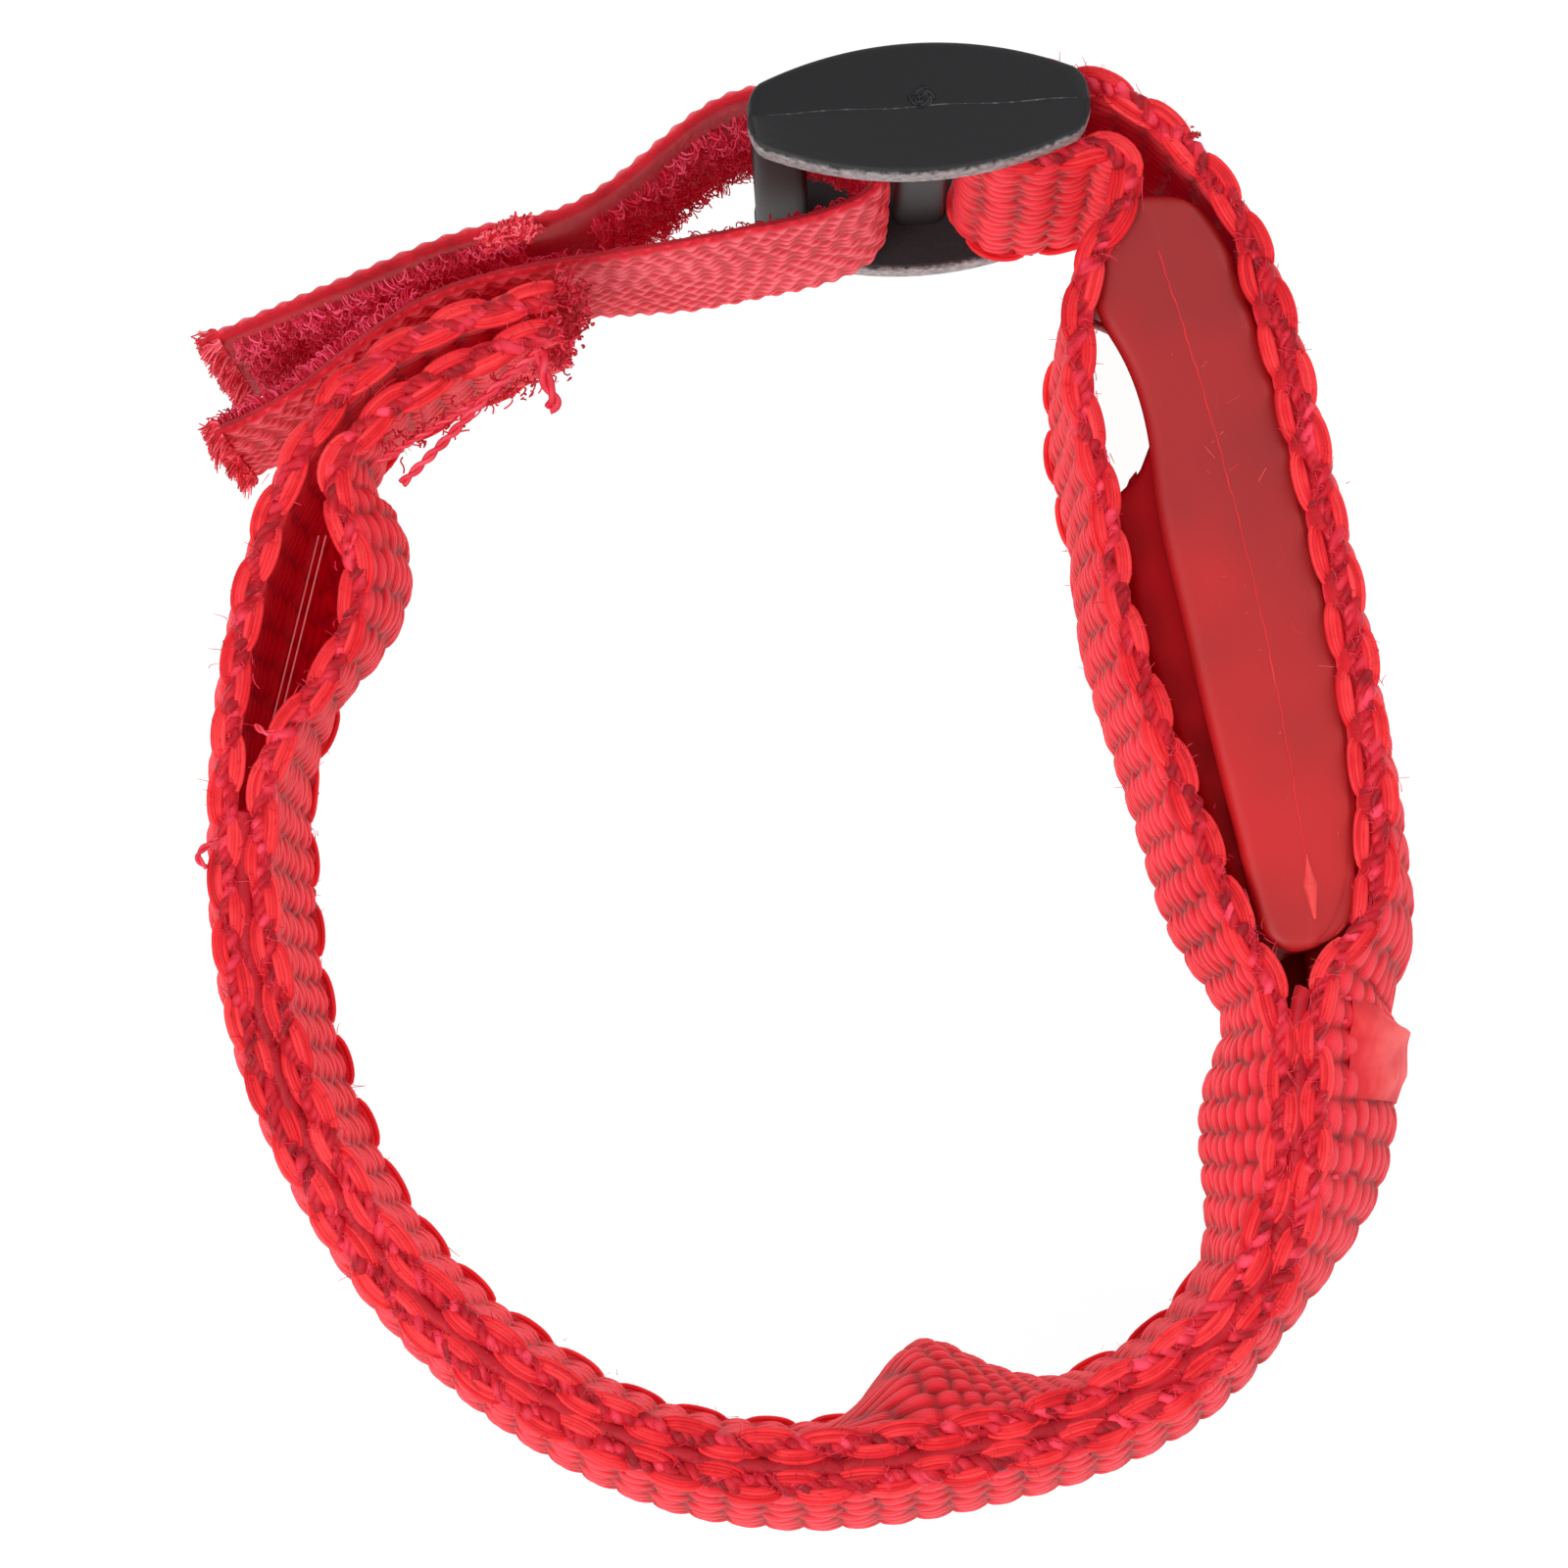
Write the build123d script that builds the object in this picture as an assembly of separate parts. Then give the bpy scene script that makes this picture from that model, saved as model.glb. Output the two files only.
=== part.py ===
from build123d import *
import os
from math import atan2, degrees

# A webbing wristband that stands on its edge. +Z runs along the band's width, the wrist axis.
# The origin is the middle of the footprint, at the surface that the buckle's lower rail rests on.
os.makedirs("parts", exist_ok=True)

# ---- Driving dimensions, millimetres ----
WEBBING_WIDTH = 25.0
WEBBING_THICK = 1.7
TAPE_WIDTH = 20.0
TAPE_THICK = 1.0
BUCKLE_WIDTH = 31.0
RAIL_THICK = 2.7
CASE_WIDTH = 23.6
CASE_WALL = 1.2
CELL_RADIUS = 8.0
GAP = 0.1                       # running clearance of small pieces

FOOTPRINT_MIDDLE = (0.45, -0.39)  # in the plan coordinates used below

MID_Z = BUCKLE_WIDTH / 2
WEBBING_Z = (MID_Z - WEBBING_WIDTH / 2, MID_Z + WEBBING_WIDTH / 2)
TAPE_Z = (MID_Z - TAPE_WIDTH / 2, MID_Z + TAPE_WIDTH / 2)

# The webbing's line, along its edges: x, y, and how far the middle of its width stands out to the
# right of the run. It starts at the sewn end, runs down the outside of the ring and up again to the
# buckle, turns round the buckle's bar and comes back on the wrist side.
OUTER_PLY = [
    (-13.8, 27.9, 0.0), (-20.1, 26.1, 0.0), (-25.2, 23.0, 0.0), (-28.5, 18.4, 0.6), (-30.4, 13.2, 1.3),
    (-31.7, 6.6, 1.8), (-32.2, -1.5, 1.8), (-31.8, -9.5, 1.8), (-29.9, -17.1, 1.8), (-26.3, -24.3, 1.8),
    (-21.2, -30.4, 2.0), (-14.7, -35.2, 2.2), (-7.2, -38.3, 2.3), (1.0, -39.2, 2.3), (9.9, -38.0, 2.3),
    (17.7, -35.9, 2.3), (23.4, -32.4, 2.5), (27.0, -27.8, 2.8), (28.7, -22.0, 4.4), (29.0, -16.0, 5.2),
    (29.2, -11.8, 5.3), (30.4, -9.4, 4.4), (31.9, -7.6, 3.2), (32.6, -5.0, 2.2), (32.5, 0.0, 1.6),
    (31.8, 5.5, 1.2), (30.9, 11.0, 1.1), (29.2, 18.5, 1.1), (27.0, 26.6, 1.1), (24.6, 31.8, 0.8),
    (21.6, 36.0, 0.4), (18.4, 38.9, 0.1)]
BUCKLE_FOLD = [
    (15.4, 40.4, 0.0), (12.4, 40.4, 0.0), (10.6, 39.7, 0.0), (9.9, 38.1, 0.0), (10.6, 36.5, 0.0),
    (12.4, 35.8, 0.0), (15.2, 36.0, 0.0), (17.3, 36.4, 0.0), (18.7, 35.3, 0.0), (18.4, 33.1, 0.0)]
INNER_PLY = [
    (17.2, 31.0, 0.0), (16.2, 28.4, 0.0), (15.9, 25.4, -0.2), (16.1, 21.5, -0.2), (16.9, 18.0, 0.3),
    (17.6, 14.0, 0.7), (18.1, 10.5, 0.9), (19.3, 6.3, 1.1), (20.8, 2.0, 1.2), (22.6, -2.8, 1.6),
    (23.9, -6.2, 1.8), (25.4, -9.3, 1.4), (26.7, -12.0, 1.3), (27.1, -16.0, 2.6), (26.8, -21.5, 2.6),
    (25.2, -26.8, 1.0), (21.7, -31.0, 0.0), (16.2, -34.2, -0.6), (11.0, -35.8, 1.5), (7.4, -36.4, 4.3),
    (3.0, -36.9, 0.8), (-2.5, -37.0, -1.0), (-9.2, -35.6, -1.0), (-15.7, -32.1, -1.0),
    (-22.2, -26.5, -1.0), (-27.2, -18.2, -1.0), (-29.8, -9.0, -1.0), (-30.2, -1.8, -1.0),
    (-29.4, 2.1, -0.4), (-26.9, 5.8, 0.2), (-25.2, 9.6, 1.0), (-25.4, 14.0, 1.6), (-26.3, 17.6, 1.0),
    (-24.6, 20.2, 0.3), (-20.4, 23.2, -0.2), (-13.6, 26.0, -0.2)]
WEBBING_SAMPLES = 150
WEBBING_SPANS = 30              # spline spans along each side of the strip

# The hook-and-loop tape: sewn end, lower layer, turn round the buckle's bar, free span; then its tail.
TAPE_LOOP = [
    (-33.6, 19.6), (-30.2, 21.2), (-26.9, 23.5), (-21.1, 27.6), (-14.3, 29.5), (-7.0, 30.6), (-1.9, 31.8),
    (2.4, 33.2), (4.4, 34.8), (4.7, 37.2), (3.1, 39.4), (-0.4, 39.8), (-3.8, 38.8), (-7.8, 35.8),
    (-12.7, 32.3)]
PEEL_AXIS = (-13.6, 31.75)
TAPE_TAIL = [PEEL_AXIS, (-18.4, 30.7), (-24.0, 28.6), (-29.2, 26.4), (-33.8, 24.4)]
TAPE_SAMPLES = 60
TAPE_SPANS = 10
HOOK_THICK = 0.5
HOOK_ROWS = (1, 5)              # the stretch of the tail that carries the hook patch
STAND_OFF = 0.05                # air between two flat layers that are sewn together

# The clear strip that carries light between the plies, along the middle of the band's width: it
# keeps beside the outer ply, then runs on into the opening on the left.
GUIDE_ROWS = (6, 19)
GUIDE_BESIDE = 0.25
GUIDE_END = [(-31.2, 3.7), (-29.7, 9.5), (-28.0, 15.0)]
GUIDE_THICK = 0.4
GUIDE_WIDTH = 10.0

# Sewing thread.
THREAD_RADIUS = 0.2
SEAM_ROWS = (6, 21)             # the rows of OUTER_PLY between which the plies lie together
SEAM_STITCHES = 36
SEAM_REACH = 2.8
SEAM_INSET = 1.5
BOX_ROWS = [(-20.0, 25.5), (-17.3, 26.6), (-14.9, 27.1)]
BOX_TURN = 111.0
BOX_REACH = 4.8
BOX_PITCH = 2.6

# The slide buckle, in its own axes: X along the rails, Y through their thickness.
BUCKLE_AT = (6.8, 37.85)
BUCKLE_TURN = 3.0
RAIL_LENGTH = 19.4
RAIL_END_HALF = 1.5
RAIL_MID_HALF = 3.7
RAIL_CORNER = 0.8
BAR_LENGTH = 3.2
BAR_THICK = 2.0
BAR_CORNER = 0.8
BAR_AT = (-8.0, 0.4, 7.9)

# The case, seen along Z: its outer arc, its inner arc and the parting arc between its halves.
CASE_OUTER = [(21.7, 32.9), (29.5, 11.0), (31.2, -9.0)]
CASE_INNER = [(17.5, 27.0), (21.8, 11.0), (25.4, -9.0)]
CASE_TOP = (18.7, 31.6)         # the corner between the two arcs' upper ends
CASE_PARTING = [(18.15, 37.0), (25.7, 11.6), (29.91, -26.0)]
CASE_CORNERS = (1.0, 1.2, 2.6)  # the two at the top on the wrist side, the outer top, both at the foot
NOSE = [(26.4, -5.0), (31.0, -5.0), (31.7, -9.0), (31.9, -12.0), (31.2, -17.0), (29.7, -21.5),
        (28.2, -21.5), (27.0, -17.0), (26.6, -12.0)]
NOSE_WIDTH = 12.0
BAY = [(20.4, 19.6), (18.8, 17.6), (18.7, 14.0), (20.8, 4.8), (23.2, -0.5), (27.0, -1.0), (24.0, 19.8)]
BAY_WIDTH = 20.6

# Inside the case. X runs out through the outer face, Y up along the case, Z across the band.
CASE_AT = (25.7, 12.0)
CASE_FACING = 13.0              # degrees from the row's +X to the case's own
CASE_REACH = 12.0               # more than the case's thickness
LID_X = -4.95
CELL_X = (-4.2, -1.0)
CELL_Y = -2.5
BOARD = ((0.0, 0.8), (-9.5, 8.5), (-8.5, 8.5))
CONTACT_THICK = 0.2
POST_RADIUS = 1.6
POST_X = (-4.9, -1.5)
SCREW_AT = [(5.4, 8.6), (5.4, -8.6), (-9.6, 8.6), (-9.6, -8.6)]
SCREW_RADIUS = 0.6
SCREW_X = (-5.6, -2.0)
HEAD_RADIUS = 1.2
HEAD_X = (-5.9, -5.35)
SWITCH_X = (0.8, 1.5)
SWITCH_HALF = 2.2
PLUNGER_RADIUS = 0.9
PLUNGER_X = (1.25, 1.85)
PLUNGER_ROOM = 0.35             # below the plunger, a little more than the button's travel
CAP_RADIUS = 3.0
CAP_X = (1.85, 3.3)
FLANGE_RADIUS = 3.6
FLANGE_THICK = 0.2
LID_Y = (-14.0, 9.4)
LED_RADIUS = 1.1
LED_X = 29.05
LED_Y = (-12.2, -8.0)


def save(shape, node):
    x, y = FOOTPRINT_MIDDLE
    export_step(Pos(-x, -y, 0) * shape, f"parts/{node}.step")


# ---- Strips ---------------------------------------------------------------------------------
def beside(rows, reach):
    """Points that stand off a line of points, to the right of its run, by reach(index)."""
    moved = []
    for i, here in enumerate(rows):
        before, after = Vector(*rows[max(i - 1, 0)][:2]), Vector(*rows[min(i + 1, len(rows) - 1)][:2])
        along = (after - before).normalized()
        moved.append(Vector(*here[:2]) + Vector(along.Y, -along.X) * reach(i))
    return moved


def samples_of(rows, count):
    """Evenly spread points of a smooth line through the rows."""
    line = Spline(*rows)
    return [line @ (i / count) for i in range(count + 1)]


def spans(points, count):
    """A smooth line through the points, as a chain of short splines."""
    step = (len(points) - 1) // count
    return [Spline(*points[i * step:(i + 1) * step + 1]) for i in range(count)]


def strip_section(centre, thick, z, count):
    """The outline of a strip of even thickness about a line of points, at height z."""
    rows = [(p.X, p.Y) for p in centre]
    right = [Vector(p.X, p.Y, z) for p in beside(rows, lambda i: thick / 2)]
    left = [Vector(p.X, p.Y, z) for p in beside(rows, lambda i: -thick / 2)][::-1]
    ends = Line(right[-1], left[0]), Line(left[-1], right[0])
    return Face(Wire([*spans(right, count), ends[0], *spans(left, count), ends[1]]))


def flat_strip(points, thick, z_range, samples, count):
    section = strip_section(samples_of(points, samples), thick, z_range[0], count)
    return extrude(section, z_range[1] - z_range[0], dir=(0, 0, 1))


def main_webbing():
    """One strip of webbing, whose third column bows the middle of its width."""
    centre = samples_of(OUTER_PLY + BUCKLE_FOLD + INNER_PLY, WEBBING_SAMPLES)
    rows = [(p.X, p.Y) for p in centre]
    bowed = beside(rows, lambda i: centre[i].Z)
    lines = (centre, WEBBING_Z[0]), (bowed, MID_Z), (centre, WEBBING_Z[1])
    return loft([strip_section(line, WEBBING_THICK, z, WEBBING_SPANS) for line, z in lines])


def thread_row(places, turn, size, z_list):
    """Short threads that pass through the plies, one solid each."""
    threads = []
    for (x, y), angle in zip(places, turn):
        for z in z_list:
            threads.append(Pos(x, y, z) * Rot(0, 0, angle) * Rot(0, 90, 0) * Cylinder(*size))
    return Compound(threads)


def edge_seam(z):
    """Catch stitches through both plies, along the stretch where they lie together."""
    run = samples_of([(x, y) for x, y, _ in OUTER_PLY[SEAM_ROWS[0]:SEAM_ROWS[1]]], SEAM_STITCHES)
    rows = [(p.X, p.Y) for p in run]
    joint = beside(rows, lambda i: -WEBBING_THICK / 2)
    across = [joint[i] - Vector(*rows[i]) for i in range(len(rows))]
    turns = [degrees(atan2(v.Y, v.X)) for v in across]
    return thread_row([(p.X, p.Y) for p in joint], turns, (THREAD_RADIUS, SEAM_REACH), [z])


def box_stitch():
    """The stitching through the tape and both plies, in rows across the sewn end."""
    z_list = [MID_Z + BOX_PITCH * i for i in range(-3, 4)]
    return thread_row(BOX_ROWS, [BOX_TURN] * len(BOX_ROWS), (THREAD_RADIUS, BOX_REACH), z_list)


def strap_tail():
    """The tape's free end; its root is rounded about the line where it peels."""
    tail = flat_strip(TAPE_TAIL, TAPE_THICK, TAPE_Z, TAPE_SAMPLES, TAPE_SPANS)
    root = Pos(*PEEL_AXIS, MID_Z) * Cylinder(TAPE_THICK / 2, TAPE_WIDTH)
    return tail + root


def hook_patch():
    reach = TAPE_THICK / 2 + STAND_OFF + HOOK_THICK / 2
    row = beside(TAPE_TAIL, lambda i: -reach)[HOOK_ROWS[0]:HOOK_ROWS[1]]
    return flat_strip([(p.X, p.Y) for p in row], HOOK_THICK, TAPE_Z, TAPE_SAMPLES, TAPE_SPANS)


def light_guide():
    line = beside(OUTER_PLY, lambda i: GUIDE_BESIDE)[slice(*GUIDE_ROWS)]
    points = GUIDE_END[::-1] + [(p.X, p.Y) for p in line]
    z_range = (MID_Z - GUIDE_WIDTH / 2, MID_Z + GUIDE_WIDTH / 2)
    return flat_strip(points, GUIDE_THICK, z_range, TAPE_SAMPLES, TAPE_SPANS)


# ---- The slide buckle -----------------------------------------------------------------------
def slide_buckle():
    """Two lens-shaped rails joined by three bars."""
    half = RAIL_LENGTH / 2
    top = ThreePointArc((-half, RAIL_END_HALF), (0, RAIL_MID_HALF), (half, RAIL_END_HALF))
    foot = ThreePointArc((half, -RAIL_END_HALF), (0, -RAIL_MID_HALF), (-half, -RAIL_END_HALF))
    lens = Face(Wire([top, Line(top @ 1, foot @ 0), foot, Line(foot @ 1, top @ 0)]))
    rail = extrude(fillet(lens.vertices(), RAIL_CORNER), RAIL_THICK, dir=(0, 0, 1))
    buckle = rail + Pos(0, 0, BUCKLE_WIDTH - RAIL_THICK) * rail
    for at in BAR_AT:
        bar = Pos(at, 0) * RectangleRounded(BAR_LENGTH, BAR_THICK, BAR_CORNER)
        buckle += extrude(bar, BUCKLE_WIDTH)
    return Pos(*BUCKLE_AT, 0) * Rot(0, 0, BUCKLE_TURN) * buckle


# ---- The case -------------------------------------------------------------------------------
def in_case(shape):
    """Place a piece made in the case's own axes."""
    return Pos(*CASE_AT, MID_Z) * Rot(0, 0, CASE_FACING) * shape


def disc(radius, x_range, y=0.0, z=0.0):
    """A round piece whose axis is the case's own X."""
    low, high = x_range
    return in_case(Pos((low + high) / 2, y, z) * Rot(0, 90, 0) * Cylinder(radius, high - low))


def block(x_range, y_range, z_range):
    size = [b - a for a, b in (x_range, y_range, z_range)]
    middle = [(a + b) / 2 for a, b in (x_range, y_range, z_range)]
    return in_case(Pos(*middle) * Box(*size))


def slab_face():
    """The case's outline along Z, between its outer and inner arcs."""
    outer, inner = ThreePointArc(*CASE_OUTER), ThreePointArc(*CASE_INNER)
    top = Polyline(inner @ 0, CASE_TOP, outer @ 0)
    face = Face(Wire([outer, Line(outer @ 1, inner @ 1), inner, *top.edges()]))
    corners = (CASE_INNER[0], CASE_CORNERS[0]), (CASE_TOP, CASE_CORNERS[0]), \
        (CASE_OUTER[0], CASE_CORNERS[1]), (CASE_OUTER[2], CASE_CORNERS[2]), (CASE_INNER[2], CASE_CORNERS[2])
    for corner, radius in corners:
        face = fillet(face.vertices().sort_by_distance(corner)[0], radius)
    return face


def case_block(inset):
    """The case as one solid, or the hollow in it: slab, battery bay and tapered nose."""
    bay, nose = Face(Wire.make_polygon(BAY)), Face(Wire.make_polygon(NOSE))
    block_shape = None
    for face, width in ((slab_face(), CASE_WIDTH), (bay, BAY_WIDTH), (nose, NOSE_WIDTH)):
        outline = offset(face, -inset) if inset else face
        layer = Pos(0, 0, MID_Z) * extrude(outline, width / 2 - inset, both=True)
        block_shape = layer if block_shape is None else block_shape + layer
    return block_shape


def outside_parting():
    """Everything on the outer side of the parting arc."""
    arc = ThreePointArc(*CASE_PARTING)
    far_x = CASE_OUTER[2][0] + CASE_REACH
    back = Polyline(arc @ 1, (far_x, CASE_PARTING[2][1]), (far_x, CASE_PARTING[0][1]), arc @ 0)
    return extrude(Face(Wire([arc, *back.edges()])), BUCKLE_WIDTH)


def screws():
    found = []
    for y, z in SCREW_AT:
        found.append(disc(SCREW_RADIUS, SCREW_X, y, z) + disc(HEAD_RADIUS, HEAD_X, y, z))
    return Compound(found)


def case_pieces():
    """Both halves and the battery bay's lid, with the holes of the button and the screws."""
    solid = case_block(0)
    wall = solid - case_block(CASE_WALL)
    lid_space = block((-CASE_REACH, LID_X), LID_Y, (-CASE_REACH, CASE_REACH))
    outer = (wall & outside_parting()) - disc(CAP_RADIUS + GAP, (0, CASE_REACH))
    inner = wall - outside_parting() - lid_space
    lid = solid & lid_space
    for y, z in SCREW_AT:
        inner += disc(POST_RADIUS, POST_X, y, z)
    for y, z in SCREW_AT:
        inner -= disc(SCREW_RADIUS, SCREW_X, y, z)
    return outer, inner, lid - screws()


# ---- Inside the case ------------------------------------------------------------------------
def coin_cells():
    """Two cells in a stack."""
    low, high = CELL_X
    middle = (low + high) / 2
    spans_x = (low, middle - STAND_OFF / 2), (middle + STAND_OFF / 2, high)
    return Compound([disc(CELL_RADIUS, x_range, CELL_Y) for x_range in spans_x])


def contact_positive():
    """A strip over the cells with a leg up to the board."""
    x = CELL_X[1] + STAND_OFF
    plate = block((x, x + CONTACT_THICK), (-8.8, CELL_Y), (-2.0, 2.0))
    leg = block((x, BOARD[0][0]), (-9.0, -8.8), (-2.0, 2.0))
    return plate + leg


def contact_negative():
    """A strip under the cells with a leg up past their rim to the board."""
    x = CELL_X[0] - STAND_OFF - CONTACT_THICK
    plate = block((x, x + CONTACT_THICK), (CELL_Y, 5.95), (-2.0, 2.0))
    leg = block((x, BOARD[0][0]), (5.75, 5.95), (-2.0, 2.0))
    return plate + leg


def switch_body():
    body = block(SWITCH_X, (-SWITCH_HALF, SWITCH_HALF), (-SWITCH_HALF, SWITCH_HALF))
    return body - disc(PLUNGER_RADIUS + GAP, (PLUNGER_X[0] - PLUNGER_ROOM, CASE_REACH))


def button_cap():
    flange = disc(FLANGE_RADIUS, (CAP_X[0], CAP_X[0] + FLANGE_THICK))
    return flange + disc(CAP_RADIUS, CAP_X)


def leds():
    """A small flat light on the board and a round one in the nose, aimed at the light guide."""
    flat = block((BOARD[0][1], BOARD[0][1] + 0.5), (-9.2, -7.2), (-1.0, 1.0))
    barrel = Rot(90, 0, 0) * Cylinder(LED_RADIUS, LED_Y[1] - LED_Y[0])
    dome = Pos(LED_X, LED_Y[0], MID_Z) * Sphere(LED_RADIUS)
    return Compound([flat, Pos(LED_X, sum(LED_Y) / 2, MID_Z) * barrel + dome])


def controller_chip():
    return block((BOARD[0][1], BOARD[0][1] + 0.5), (4.2, 7.2), (-6.5, -3.0))


case_outer, case_inner, door = case_pieces()
save(main_webbing(), "main_webbing")
save(edge_seam(WEBBING_Z[1] - SEAM_INSET), "edge_seam_upper")
save(edge_seam(WEBBING_Z[0] + SEAM_INSET), "edge_seam_lower")
save(flat_strip(TAPE_LOOP, TAPE_THICK, TAPE_Z, TAPE_SAMPLES, TAPE_SPANS), "strap_loop")
save(box_stitch(), "strap_box_stitch")
save(strap_tail(), "strap_tail")
save(hook_patch(), "hook_patch")
save(light_guide(), "light_guide")
save(slide_buckle(), "slide_buckle")
save(case_outer, "case_outer_shell")
save(case_inner, "case_inner_shell")
save(door, "battery_door")
save(screws(), "door_screws")
save(coin_cells(), "coin_cells")
save(contact_positive(), "contact_positive")
save(contact_negative(), "contact_negative")
save(block(*BOARD), "circuit_board")
save(leds(), "leds")
save(controller_chip(), "controller_chip")
save(switch_body(), "switch_body")
save(disc(PLUNGER_RADIUS, PLUNGER_X), "switch_plunger")
save(button_cap(), "button_cap")
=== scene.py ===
import math

import bpy
import numpy as np
from mathutils import Matrix, Vector


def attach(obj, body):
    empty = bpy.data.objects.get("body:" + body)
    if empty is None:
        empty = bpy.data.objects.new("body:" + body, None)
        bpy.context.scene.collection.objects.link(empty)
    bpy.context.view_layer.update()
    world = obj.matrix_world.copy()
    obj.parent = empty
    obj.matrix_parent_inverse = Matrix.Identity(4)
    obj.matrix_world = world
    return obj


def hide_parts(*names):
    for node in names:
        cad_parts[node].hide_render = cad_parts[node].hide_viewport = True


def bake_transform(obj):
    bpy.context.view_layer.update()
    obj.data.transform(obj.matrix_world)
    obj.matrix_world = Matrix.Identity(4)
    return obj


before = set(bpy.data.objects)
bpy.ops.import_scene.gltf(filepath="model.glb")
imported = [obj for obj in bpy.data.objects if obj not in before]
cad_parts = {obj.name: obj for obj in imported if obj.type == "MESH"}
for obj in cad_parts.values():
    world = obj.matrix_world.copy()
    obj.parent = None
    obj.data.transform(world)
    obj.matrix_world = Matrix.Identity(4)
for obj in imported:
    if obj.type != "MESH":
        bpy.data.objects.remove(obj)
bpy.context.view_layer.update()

rng = np.random.default_rng(11)

# ---- The plan -------------------------------------------------------------------------------
# Lines are in millimetres on the drawing's plan; the frame's origin is the footprint's middle.
MIDDLE = np.array((0.45, -0.39, 0.0))
WEB_Z = (3.0, 28.0)
TAPE_Z = (5.5, 25.5)

# x, y and how far the middle of the width stands out to the right of the run.
OUTER_PLY = [
    (-13.8, 27.9, 0.0), (-20.1, 26.1, 0.0), (-25.2, 23.0, 0.0), (-28.5, 18.4, 0.6), (-30.4, 13.2, 1.1),
    (-31.7, 6.6, 1.5), (-32.2, -1.5, 1.4), (-31.8, -9.5, 1.3), (-29.9, -17.1, 1.2), (-26.3, -24.3, 1.2),
    (-21.2, -30.4, 1.4), (-14.7, -35.2, 1.7), (-7.2, -38.3, 2.1), (1.0, -39.2, 2.3), (9.9, -38.0, 2.3),
    (17.7, -35.9, 2.1), (23.4, -32.4, 2.0), (27.0, -27.8, 2.2), (28.7, -22.0, 4.4), (29.0, -16.0, 5.2),
    (29.2, -11.8, 5.3), (30.4, -9.4, 4.4), (31.9, -7.6, 3.2), (32.6, -5.0, 2.2), (32.5, 0.0, 1.6),
    (31.8, 5.5, 1.2), (30.9, 11.0, 1.1), (29.2, 18.5, 1.1), (27.2, 26.8, 1.1), (25.1, 32.1, 0.8),
    (22.0, 36.4, 0.4), (18.5, 39.3, 0.1)]
FOLD = [
    (15.4, 40.4, 0.0), (12.4, 40.4, 0.0), (10.6, 39.7, 0.0), (9.9, 38.1, 0.0), (10.6, 36.5, 0.0),
    (12.4, 35.8, 0.0), (15.2, 36.0, 0.0), (17.3, 36.4, 0.0), (18.7, 35.3, 0.0), (18.4, 33.1, 0.0)]
INNER_PLY = [
    (17.2, 31.0, 0.0), (16.2, 28.4, 0.0), (15.9, 25.4, -0.2), (16.1, 21.5, -0.2), (16.9, 18.0, 0.3),
    (17.6, 14.0, 0.7), (18.1, 10.5, 0.9), (19.3, 6.3, 1.1), (20.8, 2.0, 1.2), (22.6, -2.8, 1.6),
    (23.9, -6.2, 1.8), (25.4, -9.3, 1.4), (26.7, -12.0, 1.3), (27.1, -16.0, 2.6), (26.8, -21.5, 2.6),
    (25.2, -26.8, 1.0), (21.7, -31.0, 0.0), (16.2, -34.2, 0.2), (11.0, -35.8, 2.9), (7.4, -36.4, 4.4),
    (3.0, -36.9, 0.8), (-2.5, -37.0, -0.4), (-9.2, -35.6, -0.3), (-15.7, -32.1, -0.3),
    (-22.2, -26.5, -0.4), (-27.2, -18.2, -0.9), (-29.8, -9.0, -1.0), (-30.2, -1.8, -1.0),
    (-29.4, 2.1, -0.4), (-26.9, 5.8, 0.2), (-25.2, 9.6, 2.0), (-25.4, 14.0, 3.4), (-26.3, 17.6, 2.6),
    (-24.6, 20.2, 0.6), (-20.4, 23.2, -0.2), (-13.6, 26.0, -0.2)]
TAPE_LOOP = [
    (-33.6, 20.4), (-30.2, 22.0), (-26.9, 24.3), (-21.1, 28.3), (-14.3, 30.2), (-7.0, 31.4), (-1.9, 32.4),
    (2.4, 33.5), (4.4, 34.9), (4.7, 37.2), (3.1, 39.4), (-0.4, 40.4), (-3.8, 39.9), (-7.8, 37.2),
    (-12.7, 33.7)]
PEEL_AXIS = (-13.6, 31.75)
# How far the far edge leans, in the left opening, on the outer ply beside it and at the sewn ends.
OPENING_LEAN, BESIDE_LEAN, OUTER_END_LEAN, INNER_END_LEAN, TAPE_END_LEAN = 4.0, 1.3, 2.3, 2.9, 0.8
SINK = 2.9
FRAY_TOP, TUFT_TOP = 30.8, 30.9      # no fibre stands above the part's own height
TAPE_TAIL = [(-13.6, 33.2), (-18.4, 32.1), (-24.0, 30.0), (-29.2, 27.8), (-33.8, 25.8)]

# ---- Lines and meshes -----------------------------------------------------------------------
def spline(rows, step):
    """Points about `step` apart on a cubic spline through the rows; further columns ride along."""
    rows = np.array(rows, float)
    gaps = np.hypot(*np.diff(rows[:, :2], axis=0).T)
    t = np.r_[0, np.cumsum(gaps)]
    n = len(t)
    a, b = np.eye(n), np.zeros_like(rows)
    for i in range(1, n - 1):
        a[i, i - 1:i + 2] = gaps[i - 1], 2 * (gaps[i - 1] + gaps[i]), gaps[i]
        b[i] = 6 * ((rows[i + 1] - rows[i]) / gaps[i] - (rows[i] - rows[i - 1]) / gaps[i - 1])
    m = np.linalg.solve(a, b)
    fine = np.linspace(0, t[-1], int(t[-1] / step) + 2)
    k = np.clip(np.searchsorted(t, fine, "right") - 1, 0, n - 2)
    h, left, right = gaps[k][:, None], (t[k + 1] - fine)[:, None], (fine - t[k])[:, None]
    return (m[k] * left ** 3 + m[k + 1] * right ** 3) / (6 * h) \
        + (rows[k] / h - m[k] * h / 6) * left + (rows[k + 1] / h - m[k + 1] * h / 6) * right


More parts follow.
